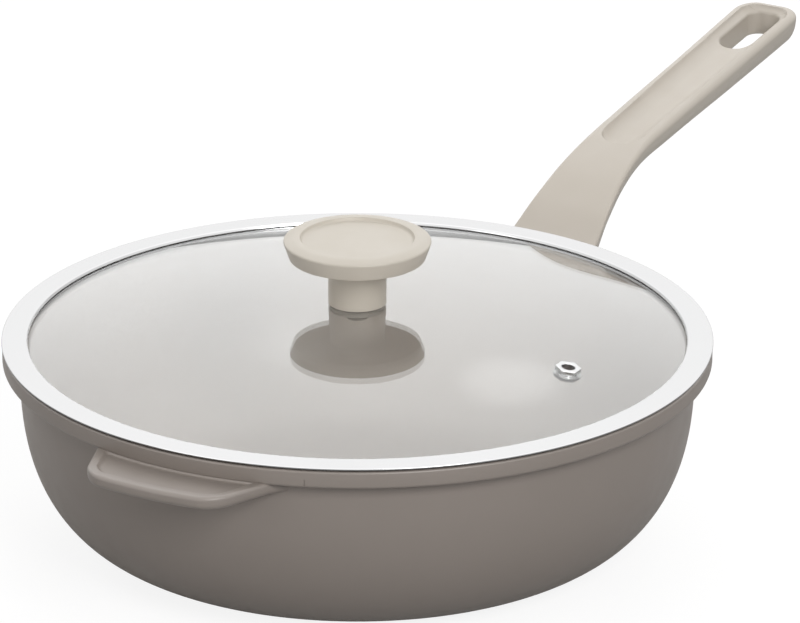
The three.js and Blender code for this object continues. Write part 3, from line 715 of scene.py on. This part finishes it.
def vent_steel():
    """Bright steel, darkened on the outside below its flange as painted shade, and lightened inside its
    bore as a painted glint.
    """
    material, tree, shader = material_with("bright_vent_steel", BRIGHT_STEEL, metallic=1.0, roughness=0.18)
    place = own_place(tree)
    seat = vent_frame()
    axis = (seat.to_3x3() @ Vector((0, 0, 1))).normalized()
    middle = seat.translation * MM
    along = vector(tree, "DOT_PRODUCT", place, axis, result="Value")
    aside = vector(tree, "CROSS_PRODUCT", vector(tree, "SUBTRACT", place, middle), axis)
    radius = vector(tree, "LENGTH", aside, result="Value")
    # Painted shade: the hub and barrel below the flange are darkened, standing in for the shadow under the
    # flange and the dimness beneath the glass
    below = number(tree, "LESS_THAN", along, middle.dot(axis) + (VENT_GAP + VENT_PAINTED_SHADE_REACH) * MM)
    outside = number(tree, "GREATER_THAN", radius, (VENT_BORE + VENT_TUBE / 2) * MM)
    # Painted glint: the wall of the bore is lightened
    inside = number(tree, "LESS_THAN", radius, (VENT_BORE + VENT_PAINTED_GLINT_REACH) * MM)
    painted_shade = number(tree, "MULTIPLY", number(tree, "MULTIPLY", below, outside), VENT_PAINTED_SHADE)
    pale = number(tree, "MULTIPLY", inside, VENT_PAINTED_GLINT)
    shade = number(tree, "ADD", number(tree, "SUBTRACT", VENT_SHADE, painted_shade), pale)
    color = added(tree, "ShaderNodeCombineColor")
    for channel in ("Red", "Green", "Blue"):
        feed(color, channel, shade)
    feed(shader, "Base Color", color.outputs["Color"])
    feed(shader, "Roughness", spread(tree, noise(tree, scale=300, detail=4), 0.14, 0.24))
    feed(shader, "Normal", bump(tree, noise(tree, scale=900, detail=2), strength=0.05, distance=0.00005))
    return material


def plain_brass():
    """Machined brass with a slightly uneven gloss."""
    material, tree, shader = material_with("plain_brass", BRASS, metallic=1.0, roughness=0.3)
    feed(shader, "Roughness", spread(tree, noise(tree, scale=300, detail=4), 0.24, 0.39))
    feed(shader, "Normal", bump(tree, noise(tree, scale=900, detail=2), strength=0.06, distance=0.00005))
    return material


def silicone():
    """Dark matt silicone."""
    material, tree, shader = material_with("dark_silicone", SILICONE, roughness=0.7)
    feed(shader, "Base Color", tinted(tree, noise(tree, scale=120, detail=3), *SILICONE_CLOUD))
    feed(shader, "Normal", bump(tree, noise(tree, scale=1500, detail=2), strength=0.1, distance=0.00005))
    return material


def clear_glass():
    """Clear tempered glass. To shadow and diffuse rays it is a nearly clear film plus a painted sheen, a
    diffuse grey that stands in for the light the glass reflects, so that the pan below is lit.
    """
    material, tree, shader = material_with("clear_tempered_glass", GLASS_TINT, roughness=0.0)
    shader.inputs["Transmission Weight"].default_value = 1.0
    shader.inputs["IOR"].default_value = 1.52
    clear = added(tree, "ShaderNodeBsdfTransparent", Color=grey(FILM_CLEAR))
    painted_sheen = added(tree, "ShaderNodeBsdfDiffuse", Color=grey(FILM_PAINTED_SHEEN))
    film = both(tree, clear.outputs["BSDF"], painted_sheen.outputs["BSDF"])
    ray = added(tree, "ShaderNodeLightPath").outputs
    soft = number(tree, "MAXIMUM", ray["Is Shadow Ray"], ray["Is Diffuse Ray"])
    shown_for(tree, soft, shader.outputs["BSDF"], film)
    return material


# Pan
def casting_profile():
    """Half section of the pan: outer wall, rim band, seat for the lid and inner wall."""
    fillet_z = BAND_BOTTOM - BAND_FILLET
    outer = bowl_curve(WALL_RADIUS, fillet_z, BASE_FLAT_RADIUS, BASE_Z)
    inner = bowl_curve(WALL_RADIUS - WALL, fillet_z, BASE_FLAT_RADIUS - WALL, BASE_Z + FLOOR)
    seat = BAND_RADIUS - SEAT_INSIDE
    band = filleted([
        (WALL_RADIUS, fillet_z, 0), (WALL_RADIUS, BAND_BOTTOM, BAND_FILLET),
        (BAND_RADIUS, BAND_BOTTOM, BAND_LOW_EDGE), (BAND_RADIUS, RIM_TOP, BAND_TOP_EDGE),
        (seat + SEAT_FLARE, RIM_TOP, SEAT_TOP_EDGE), (seat, RIM_TOP - SEAT_FLARE, SEAT_BEND),
        (seat, RIM_TOP - SEAT_DEPTH, SEAT_FOOT_ROUND),
        (inner[-1][0], RIM_TOP - SEAT_DEPTH, SEAT_FOOT_ROUND), (*inner[-1], 0),
    ])
    return [(0, BASE_Z)] + outer + band[1:-1] + inner[::-1] + [(0, BASE_Z + FLOOR)]


def helper_side(along):
    """Half the helper's width, at this distance from the pan's axis, were its corners square."""
    (near, wide), (far, narrow) = HELPER_SIDE_NEAR, HELPER_SIDE_FAR
    flare = HELPER_FLARE * max((near - along) / BAND_STEP, 0) ** 2
    return wide + (narrow - wide) * (along - near) / (far - near) + flare


def helper_half(along):
    """Half the helper's width, with its tip corners rounded."""
    past = max(along - (HELPER_REACH - HELPER_CORNER), 0)
    return helper_side(along) - HELPER_CORNER + math.sqrt(max(HELPER_CORNER ** 2 - past ** 2, 0))


def helper_place(along, across, z):
    """Rows lie on arcs about the pan's axis, on the side away from the long handle."""
    angle = math.asin(across / along)
    return (-along * math.cos(angle), -along * math.sin(angle), z)


def helper_top(along, across):
    inside = inside_box(along, across, 0, HELPER_REACH, helper_side(along), 0, HELPER_CORNER)
    (near, wide), (far, narrow) = RECESS_SIDE_NEAR, RECESS_SIDE_FAR
    recess_half = wide + (narrow - wide) * (along - near) / (far - near)
    dish = inside_box(
        along, across, RECESS_START, RECESS_END, recess_half, RECESS_REAR_CORNER, RECESS_CORNER,
    )
    z = HELPER_TOP - rounding(inside, HELPER_TOP_EDGE) - hollow(dish, RECESS_DEPTH, RECESS_WALL)
    return helper_place(along, across, z - rounding(-dish, RECESS_LIP) * (dish <= 0))


def helper_under(along, across):
    inside = inside_box(along, across, 0, HELPER_REACH, helper_side(along), 0, HELPER_CORNER)
    z = HELPER_TOP - HELPER_THICKNESS + rounding(inside, HELPER_LOW_EDGE)
    return helper_place(along, across, z)


def helper_handle():
    """Short cast handle with a shallow dished top, from inside the wall out to its tip."""
    rows = joined(
        spaced(WALL_RADIUS - WALL / 2, RECESS_START - RECESS_LEAD, 8),
        spaced(RECESS_START - RECESS_LEAD, RECESS_START + RECESS_WALL, 14),
        spaced(RECESS_START + RECESS_WALL, RECESS_END - RECESS_WALL, 20),
        spaced(RECESS_END - RECESS_WALL, RECESS_END + RECESS_LEAD, 14),
        spaced(RECESS_END + RECESS_LEAD, HELPER_REACH, 30, ease=0.9),
    )
    return plate(rows, HELPER_COLUMNS, helper_half, helper_top, helper_under)


def lug():
    """The cast lug that carries the long handle, sloping up with it and wider at the wall."""
    bm = bmesh.new()
    bmesh.ops.create_cube(bm, size=1)
    height = LUG_THICKNESS - LUG_STEP
    length = LUG_LENGTH + LUG_OVERLAP
    bmesh.ops.scale(bm, vec=(length, LUG_WIDTH, height), verts=bm.verts)
    bmesh.ops.translate(bm, vec=(-length / 2 - LUG_GAP, 0, 0), verts=bm.verts)
    bmesh.ops.bevel(
        bm, geom=bm.edges[:], offset=LUG_EDGE, segments=4, profile=0.5, affect="EDGES", material=-1,
    )
    middle = (-LUG_LENGTH / 2, 0, 0)
    bmesh.ops.bisect_plane(bm, geom=everything(bm), plane_co=middle, plane_no=(1, 0, 0))
    for v in bm.verts:
        toward_wall = max((-v.co.x - LUG_LENGTH / 2) / (length - LUG_LENGTH / 2), 0)
        v.co.y += math.copysign(LUG_FLARE * toward_wall ** 2, v.co.y)
    return bm


def lug_frame():
    """From the middle of the lug's end face, x along the slope."""
    place = Matrix.Translation((HANDLE_ROOT, 0, HANDLE_ROOT_TOP - LUG_THICKNESS / 2))
    return place @ Matrix.Rotation(-math.radians(ROOT_DEGREES), 4, "Y")


def seam():
    """Cutter for the short mark that the mould's joint left on the band."""
    bm = bmesh.new()
    bmesh.ops.create_cube(bm, size=1)
    bmesh.ops.scale(bm, vec=(2 * SEAM_DEPTH, SEAM_WIDTH, SEAM_HEIGHT + BAND_LOW_EDGE), verts=bm.verts)
    middle = BAND_BOTTOM + (SEAM_HEIGHT - BAND_LOW_EDGE) / 2
    turn = Matrix.Rotation(math.radians(SEAM_DEGREES), 4, "Z")
    bm.transform(turn @ Matrix.Translation((BAND_RADIUS, 0, middle)))
    return bm


def pan_casting(material):
    casting = object_from("pan_casting", spun(bmesh.new(), casting_profile()))
    casting = combined(casting, object_from("helper", helper_handle()), "UNION")
    arm = lug()
    arm.transform(lug_frame())
    casting = combined(casting, object_from("lug", arm), "UNION")
    casting = combined(casting, object_from("seam", seam()), "DIFFERENCE")
    return finished(casting, "pan", "pan_body", material)


def base_plate(material):
    """Steel disc let into the base, with rows of round dimples."""
    radius = DISC_HIGH.y
    profile = filleted([
        (0, DISC_LOW.z, 0), (radius, DISC_LOW.z, DISC_EDGE),
        (radius, DISC_HIGH.z, 0), (0, DISC_HIGH.z, 0),
    ])
    disc = object_from("base_plate", spun(bmesh.new(), profile))
    dimples = bmesh.new()
    for row, count in DIMPLE_ROWS:
        for k in range(count):
            angle = 2 * math.pi * k / count
            place = Matrix.Translation((row * math.cos(angle), row * math.sin(angle), DISC_LOW.z))
            bmesh.ops.create_cone(
                dimples, cap_ends=True, segments=DIMPLE_STEPS, radius1=DIMPLE_RADIUS,
                radius2=DIMPLE_RADIUS, depth=2 * DIMPLE_DEPTH, matrix=place,
            )
    disc = combined(disc, object_from("dimples", dimples), "DIFFERENCE")
    return finished(disc, "pan", "base_disc", material)


# Long handle
top_share = smooth_through(TOP_HEIGHT_SHARES)
wide_share = smooth_through(ROOT_WIDENING_SHARES)


def grip_half(along):
    """Half the grip's width, this far along from its root, were its tip corners square."""
    return (GRIP_WIDTH + (ROOT_WIDTH - GRIP_WIDTH) * wide_share(min(along / HANDLE_LENGTH, 1))) / 2


def grip_outline(along):
    """Half the grip's width, with its tip corners rounded."""
    past = max(along - (HANDLE_LENGTH - TIP_CORNER), 0)
    return grip_half(along) - TIP_CORNER + math.sqrt(max(TIP_CORNER ** 2 - past ** 2, 0))


def slot_half(along):
    """Half the slot's width, nothing outside its two ends."""
    if not SLOT_START < along < SLOT_END:
        return 0
    near = max(SLOT_NEAR_CORNER - (along - SLOT_START), 0)
    far = max(SLOT_FAR_CORNER - (SLOT_END - along), 0)
    at_near = SLOT_HALF - SLOT_NEAR_CORNER + math.sqrt(SLOT_NEAR_CORNER ** 2 - near ** 2)
    return min(at_near, SLOT_HALF - SLOT_FAR_CORNER + math.sqrt(SLOT_FAR_CORNER ** 2 - far ** 2))


def around_slot(along, across):
    """Distance outside the slot's outline."""
    return -inside_box(
        along, across, SLOT_START, SLOT_END, SLOT_HALF, SLOT_NEAR_CORNER, SLOT_FAR_CORNER,
    )


def in_outline(along, across):
    """Distance inside the grip's outline."""
    return inside_box(along, across, -HANDLE_LENGTH, HANDLE_LENGTH, grip_half(along), 0, TIP_CORNER)


def grip_top(along, across):
    scoop_half = between(along, (SCOOP_START, SCOOP_END), (SCOOP_HALF_START, SCOOP_HALF_END))
    dish = inside_box(
        along, across, SCOOP_START, SCOOP_END, scoop_half, SCOOP_HALF_START, SCOOP_TIP_CORNER,
    )
    z = HANDLE_ROOT_TOP + HANDLE_RISE * top_share(along / HANDLE_LENGTH)
    z -= rounding(
        in_outline(along, across), between(along, SECTION_PLACES, ROLL_WIDTHS),
        between(along, SECTION_PLACES, ROLL_HEIGHTS),
    )
    depth = between(along, (SCOOP_START, SLOT_START), SCOOP_DEPTHS)
    z -= hollow(dish, depth, SCOOP_WALL, SCOOP_SOFTNESS)
    z -= rounding(around_slot(along, across), SLOT_EDGE)
    return (HANDLE_ROOT + along, across, z)


def grip_under(along, across):
    thickness = between(along, SECTION_PLACES, THICKNESSES)
    belly = thickness - between(along, SECTION_PLACES, ROLL_HEIGHTS) - UPRIGHT_STRIP
    z = HANDLE_ROOT_TOP + HANDLE_RISE * top_share(along / HANDLE_LENGTH) - thickness
    z += rounding(in_outline(along, across), between(along, SECTION_PLACES, BELLY_WIDTHS), belly)
    return (HANDLE_ROOT + along, across, z + rounding(around_slot(along, across), SLOT_EDGE))


def long_handle(material):
    """The moulded grip with its scoop and hanging slot, cut square to the lug at its root."""
    near, far = SLOT_START + SLOT_NEAR_CORNER, SLOT_END - SLOT_FAR_CORNER
    rows = joined(
        spaced(0, SCOOP_START - SCOOP_LEAD, 60),
        spaced(SCOOP_START - SCOOP_LEAD, SCOOP_START + SCOOP_HALF_START, 30),
        spaced(SCOOP_START + SCOOP_HALF_START, SLOT_START - SLOT_LEAD, 90),
        spaced(SLOT_START - SLOT_LEAD, SLOT_START, 6),
        spaced(SLOT_START, near, 24, ease=0.97),
        spaced(near, far, 16),
        spaced(far, SLOT_END - SLOT_TAIL, 20, ease=0.97),
        spaced(SLOT_END - SLOT_TAIL, SLOT_END, 1),
        spaced(SLOT_END, SCOOP_END, 10),
        spaced(SCOOP_END, HANDLE_LENGTH, 14, ease=0.95),
    )
    bm = plate(rows, HANDLE_COLUMNS, grip_outline, grip_top, grip_under, slot_half)
    turn = lug_frame()
    cut = bmesh.ops.bisect_plane(
        bm, geom=everything(bm), plane_co=turn.translation,
        plane_no=turn.to_3x3() @ Vector((1, 0, 0)), clear_inner=True,
    )
    rim = [e for e in cut["geom_cut"] if isinstance(e, bmesh.types.BMEdge)]
    bmesh.ops.edgeloop_fill(bm, edges=rim)
    bmesh.ops.recalc_face_normals(bm, faces=bm.faces)
    cutter = bmesh.new()
    middle = COUNTERBORE_DEPTH - LUG_THICKNESS
    bmesh.ops.create_cone(
        cutter, cap_ends=True, segments=BORE_STEPS, radius1=COUNTERBORE_RADIUS,
        radius2=COUNTERBORE_RADIUS, depth=LUG_THICKNESS,
        matrix=turn @ Matrix.Translation((COUNTERBORE_PLACE, 0, middle)),
    )
    handle = combined(object_from("long_handle", bm), object_from("counterbore", cutter), "DIFFERENCE")
    return finished(handle, "pan", "handle_grip", material)


# Lid
def dome(material):
    """Domed glass with a hole for the knob's screw and one for the vent."""
    radii = spaced(GLASS_HOLE, GLASS_RADIUS, DOME_STEPS)
    profile = [(r, glass_top(r)) for r in radii] + [(r, glass_under(r)) for r in reversed(radii)]
    glass = object_from("glass_dome", spun(bmesh.new(), profile))
    cutter = bmesh.new()
    hole = VENT_BORE + VENT_TUBE + GLASS_GAP
    bmesh.ops.create_cone(
        cutter, cap_ends=True, segments=BORE_STEPS, radius1=hole, radius2=hole,
        depth=4 * GLASS_THICKNESS, matrix=vent_frame(),
    )
    glass = combined(glass, object_from("vent_hole", cutter), "DIFFERENCE")
    return finished(glass, "lid", "lid_glass", material)


def steel_ring(material):
    """Sheet steel ring with a folded outer edge, clasping the edge of the glass."""
    outside = RING_RADIUS - RING_UNDERCUT
    collar = GLASS_RADIUS + GLASS_GAP + RING_SHEET
    web = GLASS_RADIUS + GLASS_GAP
    clasp = RING_INNER + RING_SHEET / 2
    clasp_z = glass_under(clasp) - GLASS_GAP
    web_z = glass_under(web) - GLASS_GAP
    lip_top = glass_top(RING_INNER) + RING_LIP_GAP + RING_LIP_FACE
    hem = outside - RING_HEM
    drop = RING_SLOPE * RING_FLAT_START / RING_WIDTH
    profile = filleted([
        (RING_INNER, lip_top, RING_LIP_ROUND),
        (RING_INNER + RING_LIP_LEAN, RING_TOP + RING_SLOPE, RING_INNER_ROUND),
        (RING_INNER + RING_FLAT_START, RING_TOP + RING_SLOPE - drop, 0),
        (RING_RADIUS - RING_FLAT_START, RING_TOP + drop, 0),
        (RING_RADIUS, RING_TOP, RING_OUTER_ROUND),
        (RING_RADIUS, RING_TOP - RING_EDGE, RING_OUTER_LOW_ROUND),
        (outside, RING_TOP - 2 * RING_SHEET, RING_HEM_ROUND),
        (hem, RING_TOP - 2 * RING_SHEET, RING_HEM_ROUND),
        (hem, RING_TOP - RING_SHEET, CHANNEL_ROUND),
        (collar, RING_TOP - RING_SHEET, COLLAR_TOP_ROUND),
        (collar, glass_under(GLASS_RADIUS) - GLASS_GAP - RING_SHEET, COLLAR_LOW_ROUND),
        (clasp, clasp_z - RING_SHEET, CLASP_ROUND), (clasp, clasp_z, CLASP_ROUND),
        (web, web_z, CLASP_ROUND), (web, glass_top(web) + GLASS_GAP, CHANNEL_ROUND),
        (RING_INNER, glass_top(RING_INNER) + RING_LIP_GAP, RING_LIP_LOW_ROUND),
    ])
    ring = object_from("steel_ring", spun(bmesh.new(), profile), sharp=RING_SHARP_DEGREES)
    return finished(ring, "lid", "lid_rim", material)


def vent_frame():
    """Square to the glass where the vent sits."""
    slope = math.asin((RING_INNER - VENT_INSET) / DOME_RADIUS)
    turn = Matrix.Rotation(math.radians(VENT_DEGREES), 4, "Z") @ Matrix.Translation((0, 0, DOME_CENTRE))
    return turn @ Matrix.Rotation(slope, 4, "Y") @ Matrix.Translation((0, 0, DOME_RADIUS))


def vent(material):
    """Steel eyelet: a thin hexagonal flange on a round hub, its barrel rolled over below the glass."""
    tube = VENT_BORE + VENT_TUBE
    under = GLASS_GAP - VENT_UNDER
    flat = VENT_HEX * math.cos(math.pi / 6)
    crown = VENT_GAP + VENT_PLATE
    profile = filleted([
        (VENT_BORE, crown, VENT_BORE_ROUND), (VENT_HEX, crown, VENT_ROUND),
        (VENT_HEX, VENT_GAP, VENT_PLATE_LOW_ROUND), (VENT_HUB, VENT_GAP, VENT_HUB_ROUND),
        (VENT_HUB, VENT_SEAT, VENT_HUB_ROUND), (tube, VENT_SEAT, VENT_NECK_ROUND),
        (tube, under, VENT_HUB_ROUND), (tube + VENT_LIP, under, VENT_LIP_TOP_ROUND),
        (tube + VENT_LIP, under - VENT_LIP_HEIGHT, VENT_LIP_LOW_ROUND),
        (VENT_BORE, under - VENT_LIP_HEIGHT, VENT_LIP_LOW_ROUND),
    ])
    bm = spun(bmesh.new(), profile, SMALL_TURN_STEPS)
    for v in bm.verts:
        radius = v.co.xy.length
        if v.co.z > VENT_SEAT and radius > VENT_HUB + VENT_ROUND:
            angle = math.atan2(v.co.y, v.co.x) - math.radians(VENT_TURN_DEGREES)
            to_flat = angle % (math.pi / 3) - math.pi / 6
            v.co.xy *= (flat / math.cos(to_flat) - VENT_HEX + radius) / radius
    bm.transform(vent_frame())
    bmesh.ops.recalc_face_normals(bm, faces=bm.faces)
    made = object_from("vent", bm, sharp=VENT_SHARP_DEGREES)
    return finished(made, "lid", "vent_eyelet", material)


def knob(material):
    """Round knob: a disc with a shallow dished top, tapering under, on a straight stem."""
    under = KNOB_HIGH.z - KNOB_DISC
    low = KNOB_RADIUS - KNOB_TAPER
    top = KNOB_HIGH.z + KNOB_RAISE
    floor = top - KNOB_RECESS_DEPTH
    foot = glass_top(KNOB_STEM) + KNOB_FOOT_GAP
    profile = filleted([
        (0, floor, 0), (KNOB_RECESS - KNOB_RECESS_SLOPE, floor, KNOB_RECESS_FOOT_ROUND),
        (KNOB_RECESS, top, KNOB_RECESS_EDGE), (KNOB_CROWN_START, top, KNOB_CROWN_ROUND),
        (KNOB_RADIUS + KNOB_FLARE, top - KNOB_CROWN_FALL, KNOB_TOP_EDGE),
        (low, under, KNOB_EDGE), (KNOB_STEM, under, KNOB_NECK_ROUND),
        (KNOB_STEM, foot, KNOB_FOOT_ROUND), (KNOB_SKIRT, foot, KNOB_SKIRT_ROUND),
        (KNOB_SKIRT, KNOB_LOW.z, KNOB_SKIRT_ROUND), (KNOB_BORE, KNOB_LOW.z, KNOB_BORE_ROUND),
        (KNOB_BORE, KNOB_LOW.z + KNOB_BORE_DEPTH, 0),
        (0, KNOB_LOW.z + KNOB_BORE_DEPTH, 0),
    ])
    made = object_from("knob", spun(bmesh.new(), profile))
    return finished(made, "lid", "knob_grip", material)


# Studio
def light(name, place, target, width, power, mirrored):
    """A round lamp; one that isn't mirrored stays out of gloss and glass."""
    lamp = bpy.data.lights.new(name, "AREA")
    lamp.shape = "DISK"
    lamp.size = width
    lamp.energy = power
    made = bpy.data.objects.new(name, lamp)
    made.location = place
    made.rotation_mode = "QUATERNION"
    made.rotation_quaternion = (Vector(target) - Vector(place)).to_track_quat("-Z", "Y")
    made.visible_glossy = mirrored
    made.visible_transmission = mirrored
    bpy.context.scene.collection.objects.link(made)


def studio_world():
    """Soft white surroundings, brighter overhead, with one glowing patch high behind the pan."""
    world = bpy.data.worlds.new("studio")
    world.use_nodes = True
    bpy.context.scene.world = world
    tree = world.node_tree
    background = tree.nodes["Background"]
    background.inputs["Color"].default_value = (1, 1, 1, 1)
    ray = added(tree, "ShaderNodeLightPath").outputs
    direction = added(tree, "ShaderNodeTexCoord").outputs["Generated"]
    parts = added(tree, "ShaderNodeSeparateXYZ")
    feed(parts, "Vector", direction)
    height = number(tree, "MAXIMUM", parts.outputs["Z"], 0)
    turn = Matrix.Rotation(math.radians(GLOW_AZIMUTH), 3, "Z")
    turn @= Matrix.Rotation(-math.radians(GLOW_HEIGHT), 3, "Y")
    offsets = []
    for axis, half in zip((Vector((0, 1, 0)), Vector((0, 0, 1))), GLOW_HALF_SIZES):
        aside = turn @ axis / math.sin(math.radians(half))
        share = vector(tree, "DOT_PRODUCT", direction, aside, result="Value")
        offsets.append(number(tree, "MULTIPLY", share, share))
    glow = blend(tree, number(tree, "ADD", *offsets), GLOW, 0, smooth=True)
    curve = number(tree, "ADD", number(tree, "MULTIPLY", height, SKY[2]), SKY[1])
    sky = number(tree, "ADD", number(tree, "MULTIPLY", curve, height), SKY[0])
    fill = number(tree, "ADD", number(tree, "MULTIPLY", height, FILL[1]), FILL[0])
    clear = number(tree, "MAXIMUM", ray["Is Glossy Ray"], ray["Is Transmission Ray"])
    seen = blend(tree, clear, fill, number(tree, "ADD", sky, glow))
    feed(background, "Strength", blend(tree, ray["Is Camera Ray"], seen, 1))


def floor():
    """Pale floor, white to the camera and through glass, that keeps the pan's shadow."""
    bm = bmesh.new()
    drop = Matrix.Translation((0, 0, -FLOOR_DROP))
    bmesh.ops.create_circle(bm, cap_ends=True, segments=FLOOR_STEPS, radius=FLOOR_RADIUS, matrix=drop)
    made = object_from("floor", bm)
    material, tree, shader = material_with("pale_floor", [FLOOR_SHADE] * 3, roughness=0.9)
    pale = added(tree, "ShaderNodeBsdfDiffuse", Color=grey(FLOOR_KEPT))
    glow = added(tree, "ShaderNodeEmission", Strength=FLOOR_GLOW)
    bright = both(tree, pale.outputs["BSDF"], glow.outputs["Emission"])
    ray = added(tree, "ShaderNodeLightPath").outputs
    seen = number(tree, "MAXIMUM", ray["Is Camera Ray"], ray["Is Transmission Ray"])
    shown_for(tree, seen, shader.outputs["BSDF"], bright)
    made.data.materials.append(material)


def refinish(node_name, material):
    """A CAD node that stays gets its finish."""
    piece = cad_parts[node_name]
    piece.data.materials.clear()
    piece.data.materials.append(material)


place_camera()
bright = steel("plain_bright_steel", BRIGHT_STEEL, 0.2)
# Painted shade: the washer under the glass gets steel darkened so that it stays dim beneath the glass
painted_shade = steel("washer_steel_painted_shade", PAINTED_SHADE_STEEL, 0.38)
brass = plain_brass()
gasket = silicone()

pan_casting(coated_cast())
base_plate(turned_steel())
long_handle(soft_grip("soft_handle_beige", HANDLE_BEIGE))
dome(clear_glass())
steel_ring(steel("polished_ring_steel", RING_STEEL, 0.12))
vent(vent_steel())
knob(soft_grip("soft_knob_beige", KNOB_BEIGE))
for name, material in (
    ("handle_washer", bright), ("handle_screw", bright), ("knob_washer", bright), ("knob_screw", bright),
    ("vent_washer", painted_shade), ("handle_insert", brass), ("knob_insert", brass),
    ("knob_gasket_upper", gasket), ("knob_gasket_lower", gasket),
):
    refinish(name, material)

studio_world()
floor()
for lamp in LAMPS:
    light(*lamp)
